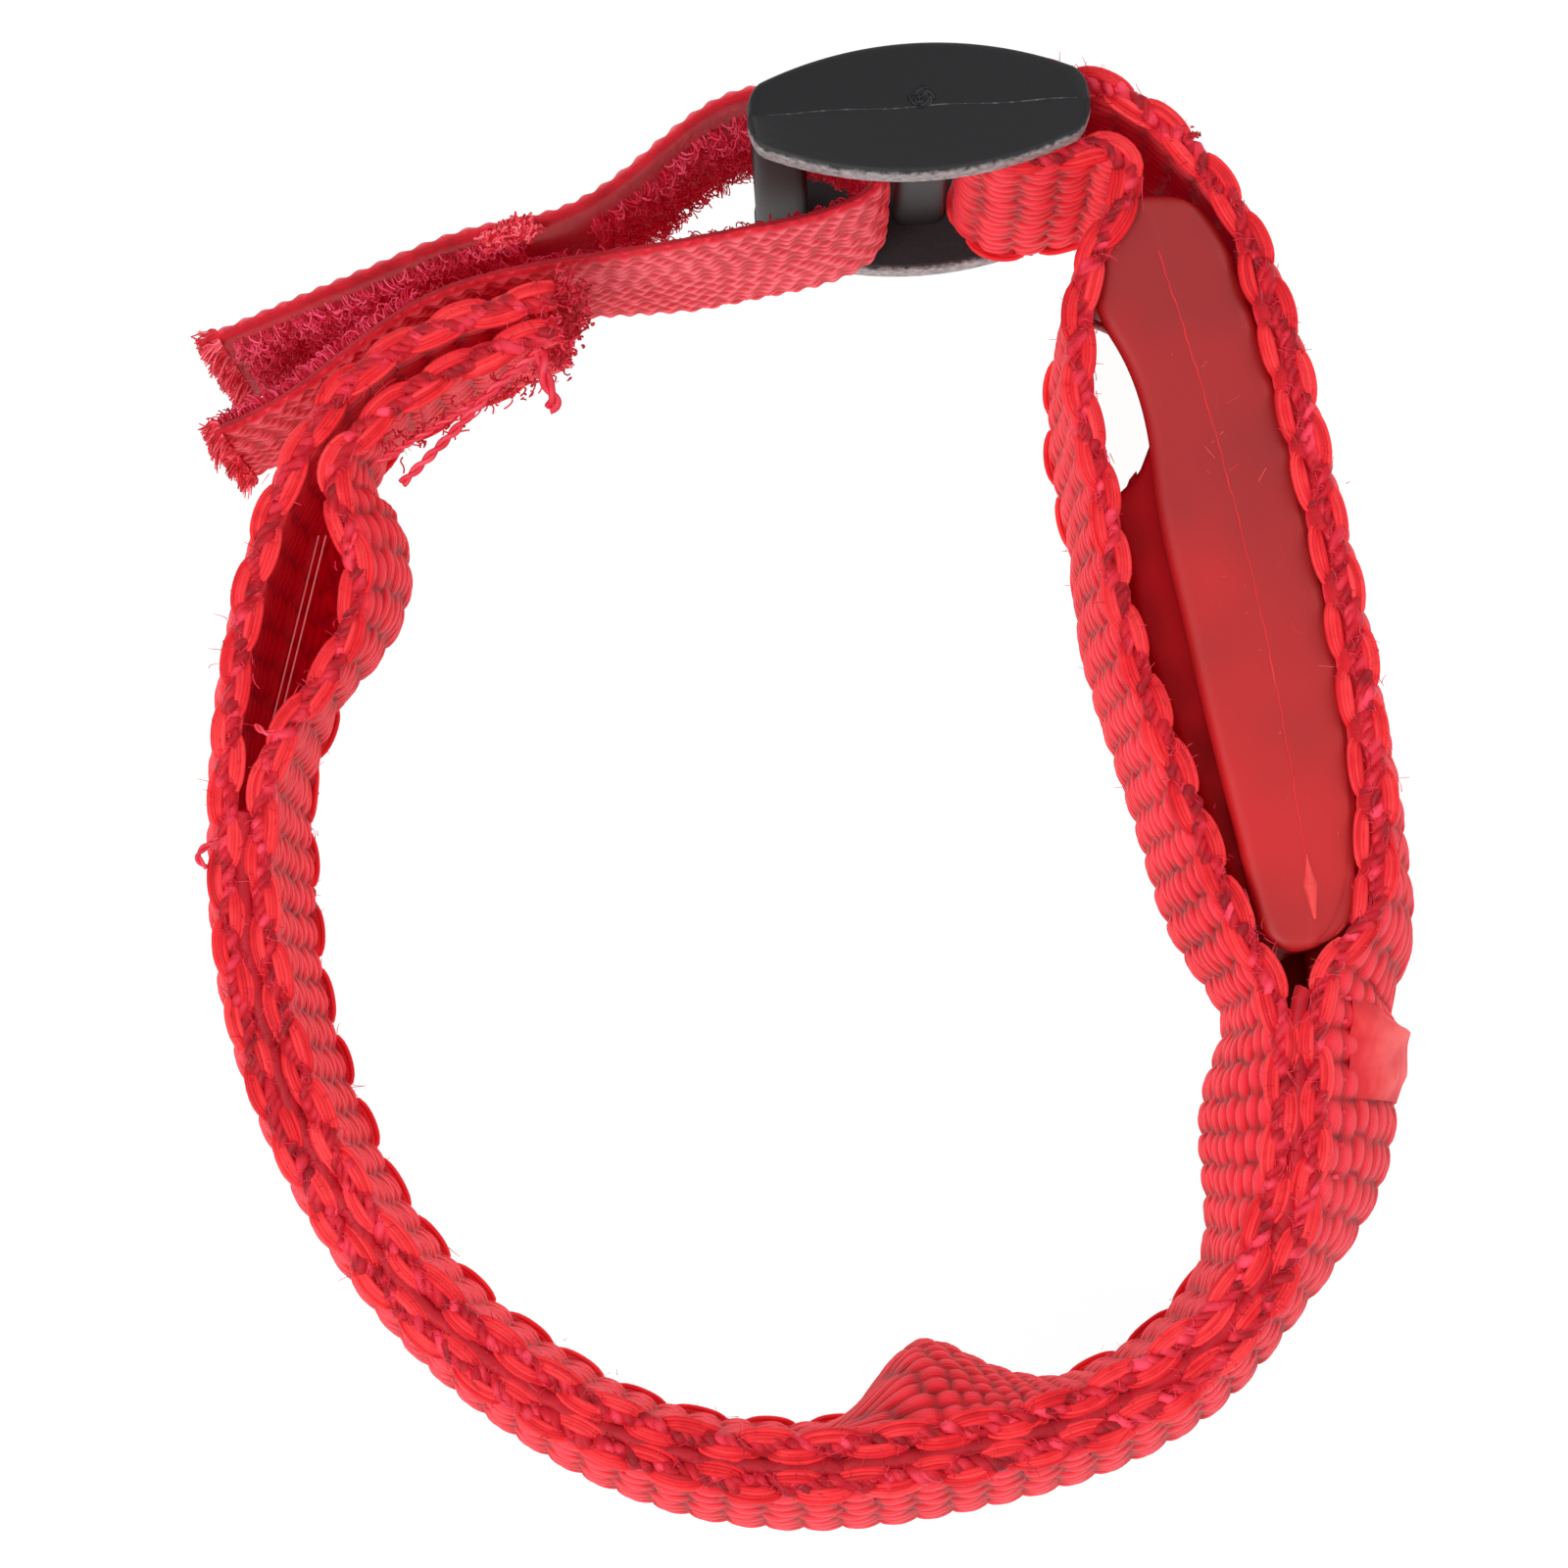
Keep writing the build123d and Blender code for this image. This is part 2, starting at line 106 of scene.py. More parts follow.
class Line:
    """A run on the plan: points by length along it, with the direction to its right."""

    def __init__(self, rows):
        pts = spline(rows, 0.05)
        self.s = np.r_[0, np.cumsum(np.hypot(*np.diff(pts[:, :2], axis=0).T))]
        self.p = pts[:, :2]
        self.stand = pts[:, 2] if pts.shape[1] > 2 else np.zeros(len(pts))
        along = np.gradient(self.p, self.s, axis=0)
        along /= np.linalg.norm(along, axis=1)[:, None]
        self.n = np.c_[along[:, 1], -along[:, 0]]
        self.length = self.s[-1]

    def look(self, values, s):
        s = np.clip(s, 0, self.length)
        if values.ndim == 1:
            return np.interp(s, self.s, values)
        return np.stack([np.interp(s, self.s, values[:, k]) for k in (0, 1)], -1)

    def nearest(self, point):
        return self.s[np.argmin(np.hypot(*(self.p - np.array(point[:2])).T))]


def droop(y):
    """The webbing sinks to the surface that the buckle stands on, away from the buckle."""
    t = np.clip((-6.0 - y) / 26.0, 0, 1)
    return SINK * t * t * (3 - 2 * t)


def place(line, s, w, off, z_range, lift=0.0, sag=True):
    """Plan positions of points at length s, share w of the width, off to the run's right."""
    bow = 1 - (2 * w - 1) ** 2
    p, n = line.look(line.p, s), line.look(line.n, s)
    if sag:                                # the inner ply leans shut at the far side of the left opening
        t = np.clip(1 - np.abs(s - OPENING[0]) / OPENING[1], 0, 1)
        off = off - OPENING_LEAN * t * t * (3 - 2 * t) * np.clip(1 - w, 0, 1) ** 1.2
        t = np.clip(1 - s / 16.0, 0, 1) - np.clip(1 - (path.length - s) / 13.0, 0, 1)
        lean = np.where(t > 0, OUTER_END_LEAN, INNER_END_LEAN)
        off = off + lean * np.sin(t * np.pi / 2) * np.clip(1 - w, 0, 1)
        t = np.clip(1 - np.abs(s - BESIDE) / 13.0, 0, 1)
        off = off - BESIDE_LEAN * t * t * (3 - 2 * t) * np.clip(1 - w, 0, 1) ** 1.5
    else:
        off = off - TAPE_END_LEAN * np.clip((30.0 - s) / 8.0, 0, 1) * np.clip(1 - w, 0, 1)
    xy = p + n * (line.look(line.stand, s) * bow + off)[..., None]
    z = z_range[0] + (z_range[1] - z_range[0]) * w + lift
    if sag:
        z = z - droop(xy[..., 1])
    return np.concatenate([xy, z[..., None]], -1)


def grid_faces(n, m, wrap=False):
    i, j = np.meshgrid(np.arange(n - 1), np.arange(m if wrap else m - 1), indexing="ij")
    j2 = (j + 1) % m
    return np.stack([i * m + j, i * m + j2, (i + 1) * m + j2, (i + 1) * m + j], -1).reshape(-1, 4)


def piece(name, verts, faces, mat, body="band", slot=None, nodes=(), uv=None, attrs=None):
    """A mesh object from plan millimetres, riding on a body."""
    mesh = bpy.data.meshes.new(name)
    verts = (np.asarray(verts, float).reshape(-1, 3) - MIDDLE) * 0.001
    verts[:, 2] = np.maximum(verts[:, 2], 0.0)
    faces = np.asarray(faces, int)
    mesh.vertices.add(len(verts))
    mesh.vertices.foreach_set("co", verts.ravel())
    mesh.loops.add(faces.size)
    mesh.loops.foreach_set("vertex_index", faces.ravel())
    mesh.polygons.add(len(faces))
    mesh.polygons.foreach_set("loop_start", np.arange(0, faces.size, faces.shape[1]))
    mesh.polygons.foreach_set("use_smooth", np.ones(len(faces), bool))
    mesh.update(calc_edges=True)
    mesh.validate()
    if uv is not None:
        layer = mesh.uv_layers.new(name="run")
        layer.data.foreach_set("uv", np.asarray(uv, float).reshape(-1, 2)[faces.ravel()].ravel())
    for key, values in (attrs or {}).items():
        mesh.attributes.new(key, "FLOAT", "POINT").data.foreach_set("value", np.ravel(values))
    mesh.materials.append(mat)
    obj = bpy.data.objects.new(name, mesh)
    bpy.context.scene.collection.objects.link(obj)
    if body:
        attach(obj, body)
    if nodes:
        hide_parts(*nodes)
    return obj


class Bag:
    """Gathers many small grids of quads into one mesh."""

    def __init__(self):
        self.v, self.f, self.c, self.count = [], [], [], 0

    def add(self, verts, faces, shade=0.5):
        verts = np.asarray(verts, float).reshape(-1, 3)
        self.v.append(verts)
        self.f.append(np.asarray(faces) + self.count)
        self.c.append(np.broadcast_to(np.ravel(shade), len(verts)) if np.size(shade) in (1, len(verts))
                      else np.repeat(shade, len(verts) // np.size(shade)))
        self.count += len(verts)

    def tubes(self, paths, radii, sides=5, shade=0.5):
        """Round threads along an array of paths (k, points, 3); radii is broadcast over them."""
        paths = np.asarray(paths, float)
        k, n = paths.shape[:2]
        radii = np.broadcast_to(radii, (k, n))
        along = np.gradient(paths, axis=1)
        along /= np.linalg.norm(along, axis=2, keepdims=True) + 1e-9
        up = np.where(np.abs(along[..., 2:3]) > 0.9, np.array((1.0, 0, 0)), np.array((0, 0, 1.0)))
        a = np.cross(along, up)
        a /= np.linalg.norm(a, axis=2, keepdims=True) + 1e-9
        b = np.cross(along, a)
        turn = np.linspace(0, 2 * np.pi, sides, endpoint=False)
        ring = a[:, :, None] * np.cos(turn)[:, None] + b[:, :, None] * np.sin(turn)[:, None]
        verts = paths[:, :, None] + ring * radii[:, :, None, None]
        faces = grid_faces(n, sides, True)
        faces = (faces[None] + (np.arange(k) * n * sides)[:, None, None]).reshape(-1, 4)
        shade = np.broadcast_to(np.asarray(shade, float).reshape(-1, 1), (k, n * sides)).ravel()
        self.add(verts, faces, shade)

    def make(self, name, mat, **more):
        return piece(name, np.concatenate(self.v), np.concatenate(self.f), mat,
                     attrs={"painted_light_and_tone": np.concatenate(self.c)}, **more)


def ripple(length, step, reach, seed):
    """A smooth random wander, one value per step."""
    gen = np.random.default_rng(seed)
    knots = gen.normal(0, 1, max(int(length / reach) + 4, 4))
    x = np.arange(0, length, step) / reach
    k = np.clip(x.astype(int), 0, len(knots) - 2)
    t = x - k
    t = t * t * (3 - 2 * t)
    return knots[k] * (1 - t) + knots[k + 1] * t


# ---- Materials ------------------------------------------------------------------------------
def srgb(r, g, b):
    linear = (((c / 255 + 0.055) / 1.055) ** 2.4 if c > 10 else c / 255 / 12.92 for c in (r, g, b))
    return tuple(linear) + (1.0,)


def new_material(name, **sockets):
    mat = bpy.data.materials.new(name)
    mat.use_nodes = True
    shader = mat.node_tree.nodes["Principled BSDF"]
    for key, value in sockets.items():
        shader.inputs[key.replace("_", " ")].default_value = value
    return mat, mat.node_tree, shader


def node(tree, kind, links=(), **values):
    made = tree.nodes.new(kind)
    for key, value in values.items():
        if key in made.inputs:
            made.inputs[key].default_value = value
        else:
            setattr(made, key, value)
    for socket, source in links:
        tree.links.new(source, made.inputs[socket])
    return made


def ramp(tree, source, stops):
    made = tree.nodes.new("ShaderNodeValToRGB")
    elements = made.color_ramp.elements
    while len(elements) < len(stops):
        elements.new(0.5)
    for element, (at, colour) in zip(elements, stops):
        element.position, element.color = at, colour
    tree.links.new(source, made.inputs["Fac"])
    return made.outputs["Color"]


def yarn(name, dark, mid, light, lines=0.0, fuzz=0.35, **sockets):
    """Nylon or polyester yarn: painted shade in the hollows, painted highlight on the crowns, with fine
    filament lines.
    """
    # The red emission is painted light: a glow that lifts every shade of the yarn toward crimson, standing in
    # for light passing through it.
    mat, tree, shader = new_material(name, Roughness=0.6, Specular_IOR_Level=0.3, Emission_Strength=0.16,
                                     Emission_Color=(0.55, 0.0, 0.012, 1), **sockets)
    painted_light_and_tone = node(tree, "ShaderNodeAttribute", attribute_name="painted_light_and_tone")
    place_ = node(tree, "ShaderNodeTexCoord")
    grain = node(tree, "ShaderNodeTexNoise", [("Vector", place_.outputs["Object"])], Scale=900.0, Detail=3.0)
    patch = node(tree, "ShaderNodeTexNoise", [("Vector", place_.outputs["Object"])], Scale=110.0, Detail=2.0)
    mixed = node(tree, "ShaderNodeMath", [(0, grain.outputs["Fac"]), (1, patch.outputs["Fac"])],
                 operation="ADD")
    spread = node(tree, "ShaderNodeMapRange", [("Value", mixed.outputs["Value"])])
    for key, value in (("From Min", 0.7), ("From Max", 1.3), ("To Min", -0.16), ("To Max", 0.16)):
        spread.inputs[key].default_value = value
    level = node(tree, "ShaderNodeMath", [(0, painted_light_and_tone.outputs["Fac"]), (1, spread.outputs["Result"])],
                 operation="ADD")
    # The colour follows the per-point shade value: painted shade where it is low, in the hollows, and painted
    # highlight where it is high, on the crowns; the noise adds random tone.
    colour = ramp(tree, level.outputs["Value"], [(0.05, dark), (0.5, mid), (0.95, light)])
    tree.links.new(colour, shader.inputs["Base Color"])
    height = grain.outputs["Fac"]
    if lines:
        run = node(tree, "ShaderNodeUVMap", uv_map="run")
        wave = node(tree, "ShaderNodeTexWave", [("Vector", run.outputs["UV"])], bands_direction="Y",
                    Scale=lines, Distortion=1.2, Detail=1.0)
        wave.inputs["Detail Scale"].default_value = 2.0
        scaled = node(tree, "ShaderNodeMath", [(0, wave.outputs["Fac"]), (1, grain.outputs["Fac"])],
                      operation="ADD")
        height = scaled.outputs["Value"]
    bump = node(tree, "ShaderNodeBump", [("Height", height)], Strength=fuzz, Distance=0.00012)
    tree.links.new(bump.outputs["Normal"], shader.inputs["Normal"])
    return mat


web = yarn("webbing", srgb(116, 0, 14), srgb(204, 10, 28), srgb(240, 52, 68), lines=14.0,
           Sheen_Weight=0.08, Sheen_Roughness=0.35, Subsurface_Weight=0.15, Subsurface_Scale=0.0012,
           Subsurface_Radius=(1.0, 0.25, 0.2))
lobe_mat = yarn("selvedge yarn", srgb(150, 4, 16), srgb(214, 18, 30), srgb(244, 62, 66),
                Sheen_Weight=0.08, Sheen_Roughness=0.35, Subsurface_Weight=0.2, Subsurface_Scale=0.0012,
                Subsurface_Radius=(1.0, 0.3, 0.2))
core_mat = yarn("selvedge core", srgb(120, 2, 16), srgb(184, 8, 30), srgb(236, 66, 92),
                Sheen_Weight=0.12, Sheen_Roughness=0.4)
tape_mat = yarn("tape weave", srgb(140, 2, 18), srgb(214, 30, 48), srgb(250, 120, 134), lines=30.0,
                Sheen_Weight=0.1, Sheen_Roughness=0.35)
pile_mat = yarn("loop pile", srgb(150, 6, 34), srgb(214, 20, 62), srgb(250, 96, 134),
                Sheen_Weight=0.1, Sheen_Roughness=0.4)
flap_mat = yarn("melted yarn", srgb(170, 8, 22), srgb(218, 26, 36), srgb(246, 92, 92), fuzz=0.2,
                Subsurface_Weight=0.5, Subsurface_Scale=0.001, Subsurface_Radius=(1.0, 0.3, 0.2))
thread_mat = yarn("thread", srgb(170, 20, 40), srgb(214, 50, 70), srgb(240, 110, 125))

# ---- The webbing ----------------------------------------------------------------------------
PAD_RUN = 2.05                  # one float of the warp, along the run
EDGE_RUN = 4.1                  # one loop of the selvedge
COLUMNS = 18
path = Line(OUTER_PLY + FOLD + INNER_PLY)
OPENING = path.nearest((-26.0, 13.0)), 19.0
BESIDE = path.nearest((-31.0, 9.5))
HUMP = path.nearest((7.4, -36.4))
S_FOLD = path.nearest((18.4, 38.9))
S_SEAM = path.nearest((-32.2, -1.5)), path.nearest((29.2, -11.8))


def pads(s, w, seed):
    """Height of the woven floats, 0 in the hollows and 1 on the crowns."""
    column = np.minimum(np.floor(w * COLUMNS), COLUMNS - 1)
    across = (w * COLUMNS - column) * 2 - 1
    drift = 0.045 * np.sin(s / 19.0 + column * 0.7 + seed) + 0.09 * np.sin(column * 2.4)
    drift = drift + 0.2 * column * np.exp(-((s - HUMP) / 7.0) ** 2)
    t = (s / PAD_RUN + drift) % 1.0
    along = np.sin(np.pi * t ** 0.8) ** 0.6
    return along * np.sqrt(np.clip(1 - 0.86 * across ** 2, 0, 1))


def pocket(s):
    """How much fuller the webbing is on its inner side where it lies over the case."""
    first, last = path.nearest((31.2, -8.6)), path.nearest((24.6, 31.8))
    t = np.clip(np.minimum(s - first, last - s) / 4.0, 0, 1)
    return 0.62 * t * t * (3 - 2 * t)


def closed_ends(verts, flat, at_start, at_end):
    """Adds a ring drawn together to the strip's middle at a cut end."""
    parts = [flat[:1]] * int(at_start) + [verts] + [flat[-1:]] * int(at_end)
    return np.concatenate(parts, 0)


def webbing(name, s0, s1, nodes=()):
    s = np.linspace(s0, s1, int((s1 - s0) / 0.25))
    wr = np.linspace(0, 1, COLUMNS * 6 + 1)
    wl = np.linspace(1, 0, 37)
    sr, wr2 = np.meshgrid(s, wr, indexing="ij")
    sl, wl2 = np.meshgrid(s, wl, indexing="ij")
    hr, hl = pads(sr, wr2, 0.0), pads(sl, wl2, 2.0)
    tuck_r = 0.25 * (np.abs(2 * wr2 - 1) ** 40)
    tuck_l = 0.25 * (np.abs(2 * wl2 - 1) ** 40)
    right = place(path, sr, wr2, 0.36 + 0.46 * hr - tuck_r, WEB_Z)
    left = place(path, sl, wl2, -(0.62 + 0.2 * hl - tuck_l + pocket(sl)), WEB_Z)
    ends = s0 == 0.0, s1 >= path.length
    flat = np.concatenate([place(path, sr, wr2, 0.0, WEB_Z), place(path, sl, wl2, 0.0, WEB_Z)], 1)
    verts = closed_ends(np.concatenate([right, left], 1), flat, *ends)
    uv = np.stack([np.concatenate([sr, sl], 1) * 0.1, np.concatenate([wr2, wl2], 1) * 2.5], -1)
    # Colour follows the height of the floats: painted shade in the hollows between floats, painted highlight
    # on their crowns.
    level = np.concatenate([hr, hl], 1)
    return piece(name, verts, grid_faces(len(verts), verts.shape[1], True), web, slot="webbing",
                 nodes=nodes, uv=closed_ends(uv, uv, *ends),
                 attrs={"painted_light_and_tone": closed_ends(level, level * 0, *ends)})


cuts = [0.0, path.nearest((-14.7, -35.2)), path.nearest((30.4, -9.4)), S_FOLD,
        path.nearest((23.9, -6.2)), path.nearest((-2.5, -37.0)), path.length]
names = ["webbing_outer_left", "webbing_outer_right", "webbing_over_case", "webbing_fold",
         "webbing_inner_bottom", "webbing_inner_left"]
for k, name in enumerate(names):
    webbing(name, cuts[k], cuts[k + 1] + (0.02 if k < 5 else 0), nodes=["main_webbing"] if k == 0 else ())


def selvedge(tag, w_edge, sign):
    """Loops of yarn round the webbing's edge, on both faces, with a braided core between them."""
    bag, core, fibres = Bag(), Bag(), Bag()
    tau = np.linspace(-1, 1, 11)
    crown = np.sqrt(np.clip(1 - tau ** 2, 0, 1))
    for side, start, reach in ((1, 0.0, 0.78), (-1, EDGE_RUN / 2, 0.72)):
        centres = np.arange(1.2 + start, path.length - 1.2, EDGE_RUN)
        centres = centres + rng.normal(0, 0.15, len(centres))
        for k in range(4):
            half = 1.9 - 0.2 * k + rng.normal(0, 0.05, len(centres))
            s = centres[:, None] + tau * half[:, None]
            size = rng.normal(1, 0.06, len(centres))[:, None]
            off = side * (0.12 + (reach - 0.19 * k) * crown ** 0.8 * size) - (side < 0) * pocket(s)
            lift = sign * (-0.42 + (0.5 + 0.1 * k) * crown + 0.12 * tau)
            paths = place(path, s, np.full_like(s, w_edge), off, WEB_Z, lift)
            radii = 0.17 * (1 - 0.45 * tau ** 4)
            bag.tubes(paths, radii, 6, 0.62 + rng.normal(0, 0.12, len(centres)))
    step = 0.16
    s = np.arange(0.2, path.length - 0.2, step)
    for k in range(3):
        turn = 2 * np.pi * (s / 2.05 + k / 3) + 0.6 * ripple(path.length, step, 3.0, 40 + k)[:len(s)]
        wander = 0.07 * ripple(path.length, step, 0.5, 50 + k + int(10 * w_edge))[:len(s)]
        off = 0.3 * np.sin(turn) + wander
        lift = sign * (-0.1 + 0.2 * np.cos(turn)) + wander
        centre = place(path, s, np.full_like(s, w_edge), off, WEB_Z, lift)
        radii = 0.31 + 0.06 * ripple(path.length, step, 0.4, 60 + k)[:len(s)]
        shade = np.clip(0.45 + 0.25 * ripple(path.length, step, 0.5, 70 + k)[:len(s)], 0, 1)
        core.tubes(centre[None], np.clip(radii, 0.14, 0.4), 7, 0.5)
        core.c[-1] = np.repeat(shade, 7)
    s = np.arange(S_SEAM[0], S_SEAM[1], step)
    rough = ripple(path.length, step, 0.45, 90 + int(w_edge))[:len(s)]
    centre = place(path, s, np.full_like(s, w_edge), -0.94 + 0.08 * rough, WEB_Z, -sign * (0.3 + 0.1 * rough))
    core.tubes(centre[None], 0.52 + 0.07 * rough, 8, 0.3)
    count = 4200
    s = rng.uniform(0.5, path.length - 0.5, count)
    off0 = rng.normal(0, 0.4, count)
    t = np.linspace(0, 1, 5)
    lean, side = rng.normal(0, 0.5, (count, 1)), rng.normal(0, 0.35, (count, 1))
    high = rng.uniform(0.15, 0.45, (count, 1))
    paths = place(path, s[:, None] + lean * t, np.full((count, 5), w_edge), off0[:, None] + side * t ** 2,
                  WEB_Z, sign * (0.05 + high * np.sin(t * 2.4)))
    fibres.tubes(paths, 0.035 * (1 - 0.5 * t), 3, rng.uniform(0.3, 1.0, count))
    bag.make(f"selvedge_loops_{tag}", lobe_mat, slot="webbing")
    core.make(f"selvedge_core_{tag}", core_mat, slot="webbing")
    fibres.make(f"selvedge_fibres_{tag}", core_mat, slot="webbing")


selvedge("near", 1.0, 1)
s = np.linspace(path.nearest((29.0, -17.5)), path.nearest((29.6, -10.8)), 60)
w = np.linspace(0.42, 0.93, 50)
sf, wf = np.meshgrid(s, w, indexing="ij")
u, v = (sf - s.mean()) / (s[-1] - s[0]) * 2, (wf - 0.675) / 0.255
edge = np.hypot(u, v) + 0.12 * np.sin(4 * np.arctan2(v, u) + 1.0) + 0.05 * np.sin(9 * np.arctan2(v, u))
rise = np.clip(1.0 - edge, -0.35, 0.3)
crease = 0.12 * np.sin(u * 5 + v * 3) * np.clip(1 - edge, 0, 1)
flap = place(path, sf, wf, 0.82 + 1.1 * rise + crease, WEB_Z)
# Its colour follows its height: painted highlight where the patch stands up, painted shade in its creases and
# low parts.
piece("fused_patch", flap, grid_faces(60, 50), flap_mat, slot="webbing",
      attrs={"painted_light_and_tone": 0.5 + rise + 2 * crease})
selvedge("far", 0.0, -1)

# ---- The tape -------------------------------------------------------------------------------
ROWS = 18
whole = Line(TAPE_LOOP[:-1] + TAPE_TAIL)
ROW_PHASE = rng.uniform(0, 2 * np.pi, ROWS + 1)
S_SPLIT = whole.nearest((-9.5, 34.6))
S_PEEL = whole.nearest(PEEL_AXIS)


def tape(name, s0, s1, body, nodes, ends):
    s = np.linspace(s0, s1, int((s1 - s0) / 0.15))
    w = np.linspace(0, 1, ROWS * 5 + 1)
    sr, wr = np.meshgrid(s, w, indexing="ij")
    phase = ROW_PHASE[np.floor(wr * ROWS).astype(int)]
    wave = np.sin(2 * np.pi * sr / 1.25 + phase + np.sin(sr / 2.3 + 3 * phase))
    rows = np.abs(np.sin(np.pi * (wr * ROWS + 0.16 * wave))) ** 0.7
    knit = rows * (0.72 + 0.28 * wave)
    rim = np.clip(1 - np.abs(2 * wr - 1) ** 24, 0, 1)
    right = place(whole, sr, wr, 0.26 * rim + 0.3 * knit, TAPE_Z, sag=False)
    sl, wl = np.meshgrid(s, np.linspace(1, 0, 41), indexing="ij")
    grain = rng.normal(0, 0.02, sl.shape)
    back = -0.42 * np.clip(1 - np.abs(2 * wl - 1) ** 24, 0, 1) + grain
    left = place(whole, sl, wl, back, TAPE_Z, sag=False)
    flat = np.concatenate([place(whole, sr, wr, 0.0, TAPE_Z, sag=False),
                           place(whole, sl, wl, 0.0, TAPE_Z, sag=False)], 1)
    verts = closed_ends(np.concatenate([right, left], 1), flat, *ends)
    uv = np.stack([np.concatenate([sr, sl], 1) * 0.1, np.concatenate([wr, wl], 1) * 2.0], -1)
    # Colour follows the knit rows: painted shade between the rows, painted highlight on their crowns; the
    # back face gets one darker value, painted shade.
    level = np.concatenate([0.1 + 0.85 * knit, np.full_like(sl, 0.22)], 1)
    return piece(name, verts, grid_faces(len(verts), verts.shape[1], True), tape_mat, body=body, slot="tape",
                 nodes=nodes, uv=closed_ends(uv, uv, *ends), attrs={"painted_light_and_tone": closed_ends(level, level, *ends)})


tape("strap_round_the_bar", 0.0, S_SPLIT + 0.02, "band", ["strap_loop"], (True, False))
free_end = tape("strap_free_end", S_SPLIT, whole.length, None, ["strap_tail"], (False, True))
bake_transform(free_end)


def pile(name, line, s_range, w_range, side, count, body):
    bag = Bag()
    t = np.linspace(0, 1, 6)
    s = rng.uniform(*s_range, count)[:, None]
    w = rng.uniform(*w_range, count)[:, None]
    reach = rng.uniform(0.35, 0.85, (count, 1))
    curl = rng.uniform(1.6, 3.4, (count, 1))
    lean = rng.uniform(0, 2 * np.pi, (count, 1))
    ds = 0.55 * np.cos(lean) * (1 - np.cos(t * curl)) * 0.6
    dw = 0.55 * np.sin(lean) * (1 - np.cos(t * curl)) * 0.6 / 20
    off = side * (0.4 + reach * np.sin(t * curl * 0.75))
    paths = place(line, s + ds, np.clip(w + dw, 0, 1), off, TAPE_Z, sag=False)
    bag.tubes(paths, 0.05, 3, rng.uniform(0.15, 1.0, count))
    return bag.make(name, pile_mat, body=body, slot="tape")


pile("pile_on_loop", whole, (14.0, S_PEEL - 1.8), (0.02, 0.84), -1, 5200, "band")
pile("pile_on_base", whole, (0.3, 14.0), (0.02, 0.97), -1, 3000, "band")

hooks = pile("hook_field", whole, (S_PEEL + 2.2, whole.length - 1.2), (0.06, 0.94), -1, 2600, "tail")
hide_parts("hook_patch")

# ---- Cut ends, tufts and loose threads --------------------------------------------------------
def fray(name, line, at_end, z_range, half, count, length, mat, body, slot, sag=False, lean_far=0.0):
    """Fibres and clumps of fibre that stand out of a cut end."""
    bag = Bag()
    s = line.length if at_end else 0.0
    a, b = (line.look(line.p, np.array(s - k)) for k in ((1.0, 0.0) if at_end else (-1.0, 0.0)))
    way = (b - a) / np.hypot(*(b - a))
    side = np.array((way[1], -way[0]))
    t = np.linspace(0, 1, 8)
    clump = rng.uniform(0, 1, 26)
    clump_lean, clump_z = rng.normal(0, 0.3, 26), rng.normal(0, 0.3, 26)
    pick = rng.integers(0, 26, count)
    share = np.clip(clump[pick] + rng.normal(0, 0.03, count), 0.01, 0.99)
    z0 = z_range[0] + (z_range[1] - z_range[0]) * share
    off0 = rng.uniform(-half, half, count)
    reach = length * rng.uniform(0.25, 1.0, count)
    lean = clump_lean[pick] + rng.normal(0, 0.3, count)
    rise = clump_z[pick] + rng.normal(0, 0.3, count)
    curl = rng.normal(0, 0.1, (count, 1)) * np.sin(t * rng.uniform(2, 6, (count, 1)))
    along = reach[:, None] * t - 0.6
    across = off0[:, None] + (lean * reach)[:, None] * t ** 1.5 + curl
    across = across + (lean_far * (z_range[1] - z0) / (z_range[1] - z_range[0]))[:, None]
    xy = b + along[..., None] * way + across[..., None] * side
    z = z0[:, None] + (rise * reach)[:, None] * t ** 1.5 + 0.7 * curl
    paths = np.concatenate([xy, z[..., None]], -1)
    if sag:
        paths[..., 2] -= droop(xy[..., 1])
    paths[..., 2] = np.minimum(paths[..., 2], FRAY_TOP)
    bag.tubes(paths, 0.085 * (1.1 - 0.7 * t), 4, rng.uniform(0.2, 0.95, count))
    bag.make(name, mat, body=body, slot=slot)


def tuft(bag, centre, spread, count, reach, thick=0.05):
    """A tangle of short curled fibres."""
    t = np.linspace(0, 1, 9)
    start = np.array(centre) + rng.normal(0, 1, (count, 3)) * np.array(spread)
    way = rng.normal(0, 1, (count, 3)) * reach
    turn = rng.uniform(0, 2 * np.pi, (count, 1))
    curl = 0.35 * reach * np.stack([np.sin(t * 5 + turn), np.cos(t * 4 + turn), np.sin(t * 6 + 2 * turn)], -1)
    paths = start[:, None] + way[:, None] * t[:, None] + curl
    paths[..., 2] = np.minimum(paths[..., 2], TUFT_TOP)
    bag.tubes(paths, thick, 4, rng.uniform(0.2, 0.9, count))


def loose(bag, points, thick, strands=2, shade=0.5):
    """A twisted thread through the points."""
    run = Line([(x, y) for x, y, _ in points])
    marks = [run.nearest(q) for q in points]
    s = np.arange(0, run.length, 0.08)
    xy, n = run.look(run.p, s), run.look(run.n, s)
    z = np.interp(s, marks, [q[2] for q in points])
    for k in range(strands):
        turn = s / (thick * 1.1) + k * 2 * np.pi / strands
        paths = np.concatenate([xy + n * (0.5 * thick * np.sin(turn))[:, None],
                                (z + 0.5 * thick * np.cos(turn))[:, None]], -1)
        bag.tubes(paths[None], 0.5 * thick, 6, shade + 0.12 * k)


